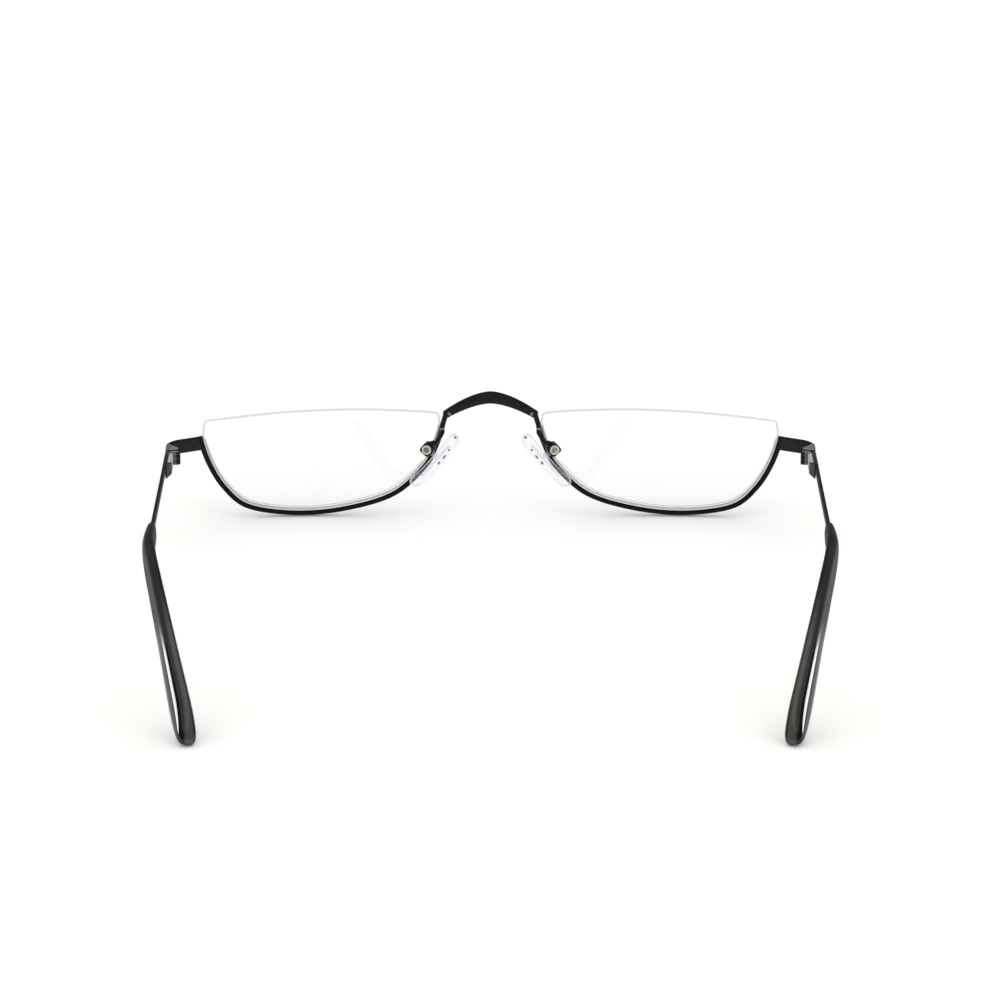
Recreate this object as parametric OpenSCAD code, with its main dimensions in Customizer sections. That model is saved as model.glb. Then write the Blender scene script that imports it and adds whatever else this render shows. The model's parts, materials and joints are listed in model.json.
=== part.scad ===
// Half-frame reading glasses: two lenses held in wires that run under them, on spring hinges.
// Millimetres. Z is up, the wearer looks along +Y, and +X is the wearer's right.
// The glasses stand open as on a table: on the bottoms of both rims and on both temple tips.
// The right half is modelled, and the left half is its mirror image.

/* [Lenses] */
// Width of one lens
lens_w = 48.6; // [42:0.2:56]
// Height of one lens
lens_h = 20.8; // [17:0.2:26]
// Distance between the two lenses
lens_gap = 20; // [16:0.5:24]
// Radius of the lens's front face, which the rim follows
lens_front_r = 95; // [80:1:200]
// Radius of the lens's rear face
lens_rear_r = 150; // [110:5:400]
// Thickness in the middle of the lens
lens_t = 2.9; // [2.4:0.1:4]
// Depth of the groove round the lens's edge
lens_groove_d = 0.45; // [0.3:0.05:0.6]
// Distance from the lens's front face to the middle of the groove
lens_groove_in = 0.85; // [0.6:0.05:1.2]
// How far the top of the front leans away from the wearer
front_lean = 11; // [0:0.5:15]

/* [Rims] */
// Thickness of the rim wire, seen from the front
rim_t = 1.05; // [0.7:0.05:1.4]
// Depth of the rim wire, front to back
rim_depth = 1.6; // [1.3:0.1:2.4]
// Depth of the channel in the rim
rim_channel_d = 0.4; // [0.25:0.05:0.5]
// Width of the nylon liner in the channel
liner_w = 0.5; // [0.3:0.05:0.6]
// Diameter of the nylon cord over the top edge
cord_d = 0.5; // [0.3:0.05:0.55]
// Straight stub of the rim above the nose side of the lens
rim_stub = 2.1; // [1:0.1:4]
// Lean of the stub towards the nose
rim_stub_lean = 17; // [0:1:30]

/* [Bridge] */
// Height of the bridge's crown above the lenses
bridge_crown = 3.7; // [2:0.1:8]
// Drop of the bridge's top edge from crown to rim
bridge_drop = 4.05; // [2:0.1:6]
// Height of the strip at its middle
bridge_h = 2.5; // [1.5:0.05:4]
// Height of the strip at its ends
bridge_end_h = 1.8; // [1:0.1:3]
// Thickness of the strip, front to back
bridge_t = 1.2; // [0.8:0.1:1.8]
// Forward bow of the bridge
bridge_bow = 0.9; // [0:0.1:3]

/* [End pieces] */
// Distance from the lens's outer edge to the end piece's outer face
end_reach = 7.1; // [5.5:0.1:10]
// Thickness of the end piece
end_t = 1; // [0.7:0.1:1.4]
// Height of the end piece
end_h = 2.85; // [2.4:0.1:3.6]
// Height of the end piece's middle above the hinge's, at the hinge
end_lift = 0.39; // [-0.5:0.05:0.5]
// Drop of the end piece from rim to corner
end_drop = 0.78; // [0:0.05:1.5]
// Outside radius of the end piece's corner
end_corner_r = 3.4; // [2:0.1:5]

/* [Hinges] */
// Distance of the hinge axis inside the outer face
axis_in = 2.2; // [1.9:0.05:2.6]
// Distance of the hinge axis behind the bottom of the rims
axis_back = 7.6; // [6:0.25:10]
// Distance of the hinge's middle below the outer end of the rim
axis_low = 1.5; // [0:0.1:4]
// Radius of the hinge's barrel
barrel_r = 0.95; // [0.8:0.05:1.1]
// Height of the whole barrel
barrel_h = 2.6; // [2.4:0.1:3.6]
// Height of the middle knuckle
middle_knuckle_h = 1.05; // [0.8:0.05:1.5]
// Radius of the hinge screw's shank
hinge_screw_r = 0.42; // [0.3:0.02:0.5]
// Radius of the hinge screw's head
hinge_head_r = 0.68; // [0.6:0.02:0.75]
// Height of the hinge screw's head
hinge_head_h = 0.35; // [0.25:0.05:0.5]
// Distance of the butt joint in front of the hinge axis
butt_y = 1.75; // [1.2:0.05:2.5]
// Length of the hinge leaf on the end piece
leaf_l = 2.2; // [1.5:0.1:3]

/* [Spring housings] */
// Length of the spring housing
housing_l = 13.4; // [10:0.2:16]
// Thickness of the spring housing
housing_t = 1.1; // [1:0.05:2]
// Distance of the housing's front face behind the hinge axis
housing_y = 2.2; // [2:0.1:3.5]
// Length of the housing's tapered rear end
housing_taper = 5; // [3:0.2:8]
// Radius of the housing's bore
housing_bore_r = 0.4; // [0.38:0.01:0.45]
// Length of the housing's bore
housing_bore_l = 7.2; // [6:0.2:9]
// Radius of the tongue's shank
shank_r = 0.22; // [0.18:0.01:0.24]
// Length of the tongue's shank, with its head
shank_l = 6.3; // [5:0.1:8]
// Length of the shank's riveted head
shank_head_l = 0.4; // [0.3:0.05:0.6]
// Length of the bush at the front of the bore
bush_l = 0.8; // [0.5:0.05:1.2]
// Diameter of the spring wire
spring_wire_d = 0.1; // [0.08:0.01:0.12]
// Travel of the spring hinge
flex_travel = 0.8; // [0.4:0.1:1.2]
// Turns of the spring
spring_turns = 9; // [6:1:12]

/* [Temples] */
// Thickness of the metal temple strip
strip_t = 0.65; // [0.5:0.05:1.2]
// Height of the strip at the hinge
strip_h = 2.6; // [2.4:0.1:4]
// Height of the strip behind the spring housing
strip_mid_h = 1.5; // [1.2:0.1:3]
// Height of the strip where it enters the tip
strip_end_h = 1.5; // [1.2:0.1:3]
// Height of the bevels along the strip's outer face
strip_bevel = 0.5; // [0.2:0.1:0.9]
// Rise of the temple towards the ear
temple_rise = 6.5; // [0:0.5:10]
// Turn of the temple towards the other one
temple_toe_in = 2.9; // [0:0.1:6]
// Distance of the ear bend behind the hinge axis
bend_y = 86.5; // [80:1:100]
// Radius of the ear bend
bend_r = 13; // [8:1:30]
// Angle of the ear bend
bend_angle = 45; // [25:1:60]
// Lean of the ear bend towards the head
bend_lean = 15.2; // [0:0.1:25]

/* [Temple tips] */
// Distance of the tip's mouth behind the hinge axis
tip_mouth_y = 73.5; // [55:0.5:78]
// Thickness of the tip at its mouth
tip_mouth_t = 1.35; // [1.2:0.05:2]
// Height of the tip at its mouth
tip_mouth_h = 2.9; // [2.7:0.1:4]
// Length over which the mouth swells
tip_swell = 14.5; // [6:0.5:20]
// Thickness of the tip at the ear bend
tip_bend_t = 2.3; // [2:0.05:3]
// Height of the tip at the ear bend
tip_bend_h = 4; // [3.5:0.1:5.5]
// Thickness of the tip near its end
tip_end_t = 3.45; // [2.4:0.05:4]
// Height of the tip near its end
tip_end_h = 5; // [4:0.1:8]
// Length over which the tip's thickness is rounded off at its end
tip_round_l = 3; // [2:0.1:5]
// Length over which the tip's height is rounded off at its end
tip_taper_l = 8; // [3:0.5:10]
// Radius of the metal core inside the tip
core_r = 0.6; // [0.4:0.05:0.7]
// Distance that the core stops short of the tip's end
core_short = 9; // [6:1:20]
// Depth that the strip reaches into the tip
strip_tuck = 3; // [2:0.5:6]
// Step of the strip's outer face at the tip's mouth
tuck_step = 0.1; // [0.05:0.05:0.2]
// Turn of the tip's section towards its end
tip_roll = 15.5; // [0:0.5:20]
// Length before the end over which the section turns
tip_roll_l = 34; // [10:1:40]

/* [Nose pads] */
// Length of a pad
pad_l = 14; // [11:0.5:16]
// Width of a pad, front to back
pad_w = 6.8; // [5:0.1:8]
// Thickness of a pad
pad_t = 2.4; // [1.8:0.1:3]
// Lean of a pad away from upright
pad_lean = 41; // [20:1:50]
// Turn of a pad's rear edge away from the nose
pad_splay = 12; // [0:1:30]
// Distance of the pad screw outside the lens's nose edge
pad_screw_out = 2.7; // [1:0.1:5]
// Distance of the pad screw's middle behind the rim bottoms
pad_screw_y = 4.2; // [3.5:0.1:8]
// Distance of the pad screw below the arm's place on the rim
pad_screw_low = 1.75; // [0:0.05:4]
// Distance from the pad screw to the middle of the pad
pad_off = 2.75; // [2.55:0.05:4]
// Distance of the pad's middle below the pad screw
pad_low = 0.8; // [-2:0.1:3]
// Side of the square pad box
pad_box = 2.4; // [2.1:0.1:3]
// Depth of the pad box, front to back
pad_box_w = 2.5; // [2.2:0.1:3.5]
// Width of the slot in the pad box
pad_slot = 1.1; // [0.8:0.05:1.4]
// Radius of the pad screw's shank
pad_screw_r = 0.45; // [0.3:0.05:0.6]
// Radius of the pad screw's head
pad_head_r = 0.98; // [0.7:0.02:1.05]
// Height of the pad screw's head
pad_head_h = 0.5; // [0.3:0.05:0.8]
// Diameter of the pad arm's wire
pad_arm_d = 1.1; // [0.8:0.05:1.3]
// Distance of the arm's place on the rim below the rim's stub
pad_arm_low = 1.8; // [0.5:0.1:5]
// Thickness of the hard core in a pad
pad_core_t = 0.6; // [0.4:0.05:0.9]
// Length of the hard core in a pad
pad_core_l = 8; // [5:0.5:9]
// Width of the hard core in a pad
pad_core_w = 3.2; // [2:0.1:4]
// Bow of the pad towards the nose
pad_bow = 0.6; // [0:0.05:1.2]

/* [Fits] */
// Gap between pieces that are joined or seated
seat_gap = 0.02; // [0.01:0.01:0.05]
// Gap between pieces that turn or slide on each other
run_gap = 0.04; // [0.02:0.01:0.08]

/* [Hidden] */
SIDE_NODES = ["rim", "rim_liner", "lens", "lens_cord", "end_piece", "hinge_leaf", "hinge_screw",
    "hinge_tongue", "hinge_bush", "hinge_spring", "spring_housing", "temple", "temple_tip",
    "pad_arm", "pad_box", "pad_screw", "pad_core", "nose_pad"];
$fn = 48;

black_metal = "#262624";
bare_metal = "#c9c8c4";
grey_metal = "#55555a";
glossy_black = "#17171a";
clear_lens = "#dfe8ea";
clear_nylon = "#f1f1f1";
clear_silicone = "#dcdcee";

// Distance that a cutting shape runs past what it cuts
past = 1;
// Slots in the screw heads
slot_w = 0.22;
slot_d = 0.2;

// Lens outline as shares of its width and height, from the nose side and the bottom
LENS_KNOTS = [[0.007, 0.832], [0.0065, 0.918], [0.0095, 0.952], [0.018, 0.972], [0.041, 0.983],
    [0.096, 0.99], [0.216, 0.998], [0.391, 1], [0.617, 0.979], [0.823, 0.938],
    [0.925, 0.9125], [0.972, 0.9], [0.99, 0.889],
    [0.9965, 0.869], [0.9985, 0.83], [0.999, 0.722], [0.9645, 0.482], [0.9025, 0.246], [0.8065, 0.066],
    [0.617, 0], [0.412, 0.04], [0.21, 0.184], [0.08, 0.45], [0.034, 0.646]];
knot_steps = 4;
// Knots where the rim wire starts beside the end piece and where its round part ends at the nose
rim_first_knot = 15;
rim_last_knot = 24;

function unit(v) = v / norm(v);

// Point at share t of the stretch after knot i of a closed smooth curve
function curve_point(k, i, t) =
    let(n = len(k), a = k[(i + n - 1) % n], b = k[i % n], c = k[(i + 1) % n], d = k[(i + 2) % n])
    0.5 * (2 * b + (c - a) * t + (2 * a - 5 * b + 4 * c - d) * t * t + (3 * b - a - 3 * c + d) * t * t * t);

// Point i of an open path, moved d to the left of the path's direction
function beside(p, i, d) =
    let(a = p[max(i - 1, 0)], b = p[min(i + 1, len(p) - 1)], t = unit(b - a))
    p[i] + d * [-t.y, t.x];

// Outline of a band along an open path, between two distances to its left
function band(p, d0, d1) = concat(
    [for (i = [0:len(p) - 1]) beside(p, i, d1)],
    [for (i = [len(p) - 1:-1:0]) beside(p, i, d0)]);

// Closed outline moved outwards by d
function grown(p, d) =
    let(n = len(p))
    [for (i = [0:n - 1]) let(t = unit(p[(i + 1) % n] - p[(i + n - 1) % n])) p[i] + d * [-t.y, t.x]];

// Rotations of a point about X and about Z
function turned_x(p, a) = [p.x, p.y * cos(a) - p.z * sin(a), p.y * sin(a) + p.z * cos(a)];
function turned_z(p, a) = [p.x * cos(a) - p.y * sin(a), p.x * sin(a) + p.y * cos(a), p.z];

// Lens and rim
lens_in_x = lens_gap / 2;
lens_knots = [for (k = LENS_KNOTS) [lens_in_x + k.x * lens_w, rim_t + k.y * lens_h]];
lens_pts = [for (i = [0:len(lens_knots) - 1]) for (j = [0:knot_steps - 1])
    curve_point(lens_knots, i, j / knot_steps)];
lens_mid = [lens_in_x + lens_w / 2, rim_t + lens_h / 2];
rim_first = rim_first_knot * knot_steps;
rim_last = rim_last_knot * knot_steps + 1;
rim_top_share = 0.88;
rim_round = concat([curve_point(lens_knots, rim_first_knot - 1, rim_top_share)],
    [for (i = [rim_first:rim_last]) lens_pts[i % len(lens_pts)]]);
rim_stub_start = rim_round[len(rim_round) - 1];
rim_stub_dir = [-sin(rim_stub_lean), cos(rim_stub_lean)];
rim_stub_end = rim_stub_start + rim_stub * rim_stub_dir;
rim_path = concat(rim_round, [rim_stub_end]);
channel_path = concat(rim_round, [rim_stub_start + rim_t / 2 * rim_stub_dir]);
rim_end_z = lens_knots[rim_first_knot].y;
// The rim's middle lies on a sphere, the groove sphere, behind the lens's front face
groove_r = lens_front_r - lens_groove_in;
function sag(r, d) = r - sqrt(r * r - d * d);
bottom_sag = sag(groove_r, lens_h / 2);
ball_y = bottom_sag - groove_r;
function groove_y(p) = ball_y + sqrt(groove_r * groove_r - pow(norm(p - lens_mid), 2));
rear_ball_y = ball_y + lens_front_r - lens_t - lens_rear_r;
channel_w = liner_w + 2 * seat_gap;
// The front is lifted until the lowest corner of the leaning rim touches the surface
rim_low = min([for (i = [0:len(rim_round) - 1])
    let(p = beside(rim_round, i, rim_t), y = groove_y(p) + rim_depth / 2)
        p.y * cos(front_lean) - y * sin(front_lean)]);
front_lift = -rim_low;
function front_point(p, y) = turned_x([p.x, y, p.y], -front_lean) + [0, 0, front_lift];
front_reach = max([for (p = lens_pts) front_point(p, groove_y(p) + lens_groove_in).y]);

// Bridge
bridge_half = rim_stub_end.x;
bridge_top = rim_t + lens_h + bridge_crown;
bridge_shape = 1.65;
bridge_steps = 14;
bridge_low_drop = bridge_drop - bridge_h + bridge_end_h;
function bridge_x(i) = bridge_half * i / bridge_steps;
function bridge_bend(x) = pow(abs(x) / bridge_half, bridge_shape);
bridge_y = groove_y(rim_stub_end);

// Hinge frame: its origin is on the hinge axis, and the axis is its Z
outer_half_w = lens_in_x + lens_w + end_reach;
axis_x = outer_half_w - axis_in;
axis_point = [axis_x, -axis_back, rim_end_z - axis_low];
knuckle_h = (barrel_h - middle_knuckle_h) / 2 - run_gap;
barrel_bore_r = hinge_screw_r + run_gap;
head_seat_r = hinge_head_r + seat_gap;
// The temple strip lies outside the axis, and the housing sits on its inner face
strip_x = axis_in - strip_t / 2;
strip_in_x = strip_x - strip_t / 2;
leaf_in_x = -0.35;
housing_in_x = strip_in_x - housing_t;
bore_x = (strip_in_x + housing_in_x) / 2;
neck_y = barrel_r + 2 * run_gap;
spring_r = housing_bore_r - run_gap - spring_wire_d / 2;
// The spring is drawn at its shortest, as at the end of the hinge's travel
spring_y0 = housing_y + bush_l + flex_travel + spring_wire_d / 2 + seat_gap;
spring_y1 = housing_y + shank_l - shank_head_l - spring_wire_d / 2 - seat_gap;
spring_steps = 12;

// Temple frame: the hinge frame, toed in. The ear bend lies in a plane that leans by bend_lean
// The straight parts of the core reach into its bend by this much
core_lap = 0.05;
core_swell = 0.03;
function temple_to_world(p) = axis_point + turned_x(turned_z(p, -temple_toe_in), -temple_rise);
function temple_dir(v) = turned_x(turned_z(v, -temple_toe_in), -temple_rise);
function leaned(y, z) = [strip_x + z * sin(bend_lean), y, z * cos(bend_lean)];
bend_l = bend_r * bend_angle * PI / 180;
bend_end = leaned(-bend_y - bend_r * sin(bend_angle), -bend_r * (1 - cos(bend_angle)));
drop_dir = leaned(-cos(bend_angle), -sin(bend_angle)) - [strip_x, 0, 0];
drop_slope = -temple_dir(drop_dir).z;
tip_power = 2.4;
tip_side_power = 3;
reach_power = tip_power / (tip_power - 1);
// Share of the full size that is left near a rounded end: power 2 gives a round end, more a squarer one
function rounded_off(left, round_l, power) =
    pow(max(0, 1 - pow(max(round_l - left, 0) / round_l, power)), 1 / power);
// Depth of the tip's underside below the end of its centre line
function tip_low(left) =
    let(a = tip_end_t / 2 * rounded_off(left, tip_round_l, tip_side_power) * sin(tip_roll),
        b = tip_end_h / 2 * rounded_off(left, tip_taper_l, 2) * cos(tip_roll))
    pow(pow(a, reach_power) + pow(b, reach_power), 1 / reach_power) * sqrt(1 - drop_slope * drop_slope)
        - left * drop_slope;
// Straight part of the tip after the bend, as long as it takes for the underside to meet the surface
low_steps = 40;
tip_rest = max([for (i = [0:low_steps]) tip_low(tip_taper_l * pow(i / low_steps, 2))]);
drop_l = (temple_to_world(bend_end).z - tip_rest) / drop_slope;
path_l = bend_y + bend_l + drop_l;

// Place and direction on the temple's centre line, s behind the hinge axis
function temple_place(s) =
    s < bend_y ? [strip_x, -s, 0] :
    s < bend_y + bend_l ?
        let(a = (s - bend_y) / bend_r * 180 / PI) leaned(-bend_y - bend_r * sin(a), -bend_r * (1 - cos(a))) :
    bend_end + (s - bend_y - bend_l) * drop_dir;
function temple_along(s) =
    let(a = min(max((s - bend_y) / bend_r * 180 / PI, 0), bend_angle))
    leaned(-cos(a), -sin(a)) - [strip_x, 0, 0];

// Temple tip: rounded oblong sections along the centre line
tip_sides = 20;
swell_steps = 8;
body_steps = 17;
round_steps = 7;
swell_end = tip_mouth_y + tip_swell;
round_start = path_l - tip_taper_l;
tip_stations = concat(
    [for (i = [0:swell_steps - 1]) tip_mouth_y + tip_swell * pow(i / swell_steps, 1.6)],
    [for (i = [0:body_steps - 1]) swell_end + (round_start - swell_end) * i / body_steps],
    [for (i = [0:round_steps]) round_start + tip_taper_l * sin(86 * i / round_steps)]);
function eased(t) = sqrt(1 - pow(1 - min(max(t, 0), 1), 2));
function blend(a, b, t) = a + (b - a) * min(max(t, 0), 1);
function tip_size(s, mouth, bend, end, power, round_l) =
    s < swell_end ? blend(mouth, bend, eased((s - tip_mouth_y) / tip_swell)) :
    blend(bend, end, (s - swell_end) / (path_l - round_l - swell_end))
        * rounded_off(path_l - s, round_l, power);
function squared(v, power) = sign(v) * pow(abs(v), 2 / power);
function smoothed(t) = let(c = min(max(t, 0), 1)) c * c * (3 - 2 * c);
function tip_ring(s) =
    let(along = temple_along(s), side = unit(cross([0, 0, 1], along)), top = cross(along, side),
        turn = tip_roll * smoothed((s - path_l + tip_roll_l) / (tip_roll_l - tip_round_l)),
        out = cos(turn) * side + sin(turn) * top, up = cos(turn) * top - sin(turn) * side,
        a = tip_size(s, tip_mouth_t, tip_bend_t, tip_end_t, tip_side_power, tip_round_l) / 2,
        b = tip_size(s, tip_mouth_h, tip_bend_h, tip_end_h, 2, tip_taper_l) / 2)
    [for (k = [0:tip_sides - 1]) let(q = 360 * k / tip_sides)
        temple_place(s) + a * squared(cos(q), tip_power) * out + b * squared(sin(q), tip_power) * up];
tip_rings = [for (s = tip_stations) tip_ring(s)];
rear_reach = min([for (r = tip_rings) for (p = r) temple_to_world(p).y]);

// The origin lies under the middle of the whole object
shift_y = -(front_reach + rear_reach) / 2;

// Nose pads: frame with its origin on the pad screw, X away from the nose and Z along the pad
pad_arm_v = rim_stub_start.y - pad_arm_low;
pad_point = [lens_in_x + pad_screw_out, -pad_screw_y, pad_arm_v - pad_screw_low];
pad_mid = [-pad_off, 0, -pad_low];
pad_rings = 8;
pad_sides = 24;
pad_power = 2.3;
pad_steep = 84;
tab_t = pad_slot - 2 * run_gap;
tab_h = 1;
tab_r = 0.72;
box_wall = 0.4;
pad_edge_r = pad_t / 2;
// Layer of the pad: its outline shrinks towards both faces, and the pad is bowed along its length
function pad_ring(a) =
    let(k = 1 - cos(a), w = (pad_w / 2 - 0.5 * pad_edge_r * k) * (1 - 0.1 * k),
        l = (pad_l / 2 - 0.6 * pad_edge_r * k) * (1 - 0.1 * k))
    [for (j = [0:pad_sides - 1])
        let(q = 360 * j / pad_sides, y = w * squared(cos(q), pad_power), z = l * squared(sin(q), pad_power))
        [pad_t / 2 * sin(a) / sin(pad_steep) + pad_bow * (2 * pow(z / (pad_l / 2), 2) - 1) / 2, y, z]];
// The arm leaves the rim's rear face and meets the pad box on its upper face, beside its middle
arm_back = 1.1;
arm_out = 0.2;
arm_side = 0.5;

// Solid through a list of rings, each with the same number of points
module through(rings) {
    n = len(rings[0]);
    m = len(rings);
    polyhedron(
        points = [for (r = rings) for (p = r) p],
        faces = concat(
            [[for (k = [0:n - 1]) k]],
            [for (i = [0:m - 2]) for (k = [0:n - 1])
                [i * n + k, (i + 1) * n + k, (i + 1) * n + (k + 1) % n, i * n + (k + 1) % n]],
            [[for (k = [n - 1:-1:0]) (m - 1) * n + k]]),
        convexity = 8);
}

// Ring of a round tube at a place, square to a direction
function tube_ring(place, along, r, sides) =
    let(a = unit(cross(along, [0.13, 0.29, 1])), b = unit(cross(along, a)))
    [for (k = [0:sides - 1]) place + r * (cos(360 * k / sides) * b + sin(360 * k / sides) * a)];

module in_place() translate([0, shift_y, 0]) children();
module in_front() in_place() translate([0, 0, front_lift]) rotate([-front_lean, 0, 0]) children();
module in_hinge() in_place() translate(axis_point) rotate([-temple_rise, 0, 0]) children();
module in_temple() in_hinge() rotate([0, 0, -temple_toe_in]) children();
module in_pad() in_place() translate(pad_point)
    rotate([0, -pad_lean, 0]) rotate([0, 0, pad_splay]) children();
module on_left() mirror([1, 0, 0]) children();

// Front outline as a prism, front to back
module prism(pts, depth) rotate([90, 0, 0]) translate([0, 0, -depth / 2]) linear_extrude(depth) polygon(pts);

module ball(r) translate([lens_mid.x, ball_y, lens_mid.y]) sphere(r, $fn = 180);

// Layer of the groove sphere, cut out of its children
module on_groove(half_w) {
    difference() {
        intersection() {
            children();
            ball(groove_r + half_w);
        }
        ball(groove_r - half_w);
    }
}

front_depth = 12;

module bridge() {
    top = [for (i = [-bridge_steps:bridge_steps])
        [bridge_x(i), bridge_top - bridge_drop * bridge_bend(bridge_x(i))]];
    low = [for (i = [bridge_steps:-1:-bridge_steps])
        [bridge_x(i), bridge_top - bridge_h - bridge_low_drop * bridge_bend(bridge_x(i))]];
    plan = [for (i = [-bridge_steps - 1:bridge_steps + 1])
        [bridge_x(i), bridge_y + bridge_bow * (1 - pow(i / bridge_steps, 2))]];
    color(black_metal) in_front() difference() {
        intersection() {
            prism(concat(top, low), front_depth);
            translate([0, 0, rim_t]) linear_extrude(2 * lens_h)
                polygon(band(plan, -bridge_t / 2, bridge_t / 2));
        }
        for (m = [0, 1]) mirror([m, 0, 0])
            prism(band(rim_path, -seat_gap, rim_t + seat_gap), 2 * front_depth);
    }
}

module rim() {
    color(black_metal) in_front() difference() {
        on_groove(rim_depth / 2) prism(band(rim_path, 0, rim_t), front_depth);
        on_groove(channel_w / 2) prism(band(channel_path, -past, rim_channel_d), front_depth);
    }
}

module rim_liner() {
    // The liner stops short of both rim ends, where the cord's ends are held
    held = [for (i = [2:len(rim_round) - 2]) rim_round[i]];
    color(clear_nylon) in_front() on_groove(liner_w / 2)
        prism(band(held, -(lens_groove_d - seat_gap), rim_channel_d - seat_gap), front_depth);
}

module lens() {
    color(clear_lens, 0.4) in_front() difference() {
        intersection() {
            prism(grown(lens_pts, -seat_gap), front_depth);
            ball(lens_front_r);
        }
        translate([lens_mid.x, rear_ball_y, lens_mid.y]) sphere(lens_rear_r, $fn = 180);
        on_groove(channel_w / 2) difference() {
            prism(grown(lens_pts, past), front_depth);
            prism(grown(lens_pts, -lens_groove_d), 2 * front_depth);
        }
    }
}

module lens_cord() {
    sunk = 0.12;
    ends = 0.35;
    first = rim_last % len(lens_pts);
    sides = 8;
    edge = [for (i = [first:rim_first]) lens_pts[i]];
    path = [for (i = [0:len(edge) - 1]) let(p = beside(edge, i, -sunk)) [p.x, groove_y(p), p.y]];
    n = len(path);
    dirs = [for (i = [0:n - 1]) unit(path[min(i + 1, n - 1)] - path[max(i - 1, 0)])];
    rings = concat(
        [tube_ring(path[0] - ends * dirs[0], dirs[0], cord_d / 2, sides)],
        [for (i = [0:n - 1]) tube_ring(path[i], dirs[i], cord_d / 2, sides)],
        [tube_ring(path[n - 1] + ends * dirs[n - 1], dirs[n - 1], cord_d / 2, sides)]);
    color(clear_nylon) in_front() through(rings);
}

// Plan of the end piece's middle line: bar, corner and leg, in hinge coordinates
end_steps = 8;
bar_sweep = 14;
corner_r = end_corner_r - end_t / 2;
leg_x = axis_in - end_t / 2;
leg_bend_y = butt_y + leaf_l - 0.6;
corner_pts = [for (i = [0:end_steps]) let(a = (90 - bar_sweep) * i / end_steps)
    [leg_x - corner_r * (1 - cos(a)), leg_bend_y + corner_r * sin(a)]];
// The bar runs past the lens's outer edge by this much, and the rim's outline cuts it off
bar_lap = 1.4;
bar_len = (end_reach - axis_in + corner_pts[end_steps].x + bar_lap) / cos(bar_sweep);
bar_end = corner_pts[end_steps] + bar_len * [-cos(bar_sweep), sin(bar_sweep)];
end_plan = concat([[leg_x, -past]], corner_pts, [bar_end]);
// Heights of the end piece: level at the leg, rising along the bar
function end_z(x) = end_lift + end_drop * min(max((leg_x - x) / (leg_x - bar_end.x + end_t), 0), 1);

module end_piece() {
    xs = [axis_in + past, leg_x - end_t, bar_end.x - past];
    side_view = concat([for (x = xs) [x, end_z(x) + end_h / 2]],
        [for (i = [2:-1:0]) [xs[i], end_z(xs[i]) - end_h / 2]]);
    color(black_metal) difference() {
        in_place() translate(axis_point) intersection() {
            translate([0, 0, -2 * end_h]) linear_extrude(4 * end_h)
                polygon(band(end_plan, -end_t / 2, end_t / 2));
            rotate([90, 0, 0]) translate([0, 0, -4 * bar_len]) linear_extrude(6 * bar_len)
                polygon(side_view);
        }
        in_front() prism(grown(lens_pts, rim_t + seat_gap), 2 * front_depth);
        in_temple() translate([-axis_in, butt_y - 4 * end_h, -2 * end_h])
            cube([4 * axis_in, 4 * end_h, 4 * end_h]);
    }
}

module hinge_leaf() {
    leaf_x1 = axis_in - end_t - seat_gap;
    color(black_metal) in_hinge() difference() {
        union() {
            for (z = [-barrel_h / 2, barrel_h / 2 - knuckle_h]) translate([0, 0, z]) {
                cylinder(h = knuckle_h, r = barrel_r);
                translate([leaf_in_x, 0, 0]) cube([leaf_x1 - leaf_in_x, butt_y + leaf_l - 0.5, knuckle_h]);
            }
            translate([leaf_in_x, butt_y, -barrel_h / 2])
                cube([leaf_x1 - leaf_in_x, leaf_l - 0.5, barrel_h]);
        }
        translate([0, 0, -barrel_h]) cylinder(h = 2 * barrel_h, r = hinge_screw_r + seat_gap);
        translate([0, 0, barrel_h / 2 - hinge_head_h]) cylinder(h = 2 * hinge_head_h, r = head_seat_r);
    }
}

module slotted_screw(r, l, head_r, head_h) {
    difference() {
        union() {
            translate([0, 0, -l]) cylinder(h = l, r = r);
            cylinder(h = head_h, r = head_r);
        }
        translate([-head_r - past, -slot_w / 2, head_h - slot_d])
            cube([2 * head_r + 2 * past, slot_w, slot_d + past]);
    }
}

module hinge_screw() {
    color(grey_metal) in_hinge() translate([0, 0, barrel_h / 2 - hinge_head_h + seat_gap])
        slotted_screw(hinge_screw_r, barrel_h - hinge_head_h, hinge_head_r, hinge_head_h);
}

module hinge_tongue() {
    neck_w = 1.0;
    neck_x = bore_x + 0.02;
    color(bare_metal) in_temple() difference() {
        union() {
            translate([0, 0, -middle_knuckle_h / 2]) cylinder(h = middle_knuckle_h, r = barrel_r);
            translate([neck_x - neck_w / 2, -housing_y + run_gap, -middle_knuckle_h / 2])
                cube([neck_w, housing_y - run_gap, middle_knuckle_h]);
            translate([neck_x - neck_w / 2, -housing_y + run_gap, -barrel_h / 2])
                cube([neck_w, housing_y - run_gap - neck_y - 0.2, barrel_h]);
            translate([bore_x, -housing_y + 2 * run_gap, 0]) rotate([90, 0, 0]) {
                cylinder(h = shank_l, r = shank_r);
                translate([0, 0, shank_l + 2 * run_gap - shank_head_l])
                    cylinder(h = shank_head_l, r = spring_r);
            }
        }
        translate([0, 0, -barrel_h]) cylinder(h = 2 * barrel_h, r = barrel_bore_r);
    }
}

module hinge_bush() {
    color(grey_metal) in_temple() translate([bore_x, -housing_y, 0]) rotate([90, 0, 0]) difference() {
        cylinder(h = bush_l, r = housing_bore_r - seat_gap);
        translate([0, 0, -past]) cylinder(h = bush_l + 2 * past, r = shank_r + run_gap);
    }
}

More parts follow.
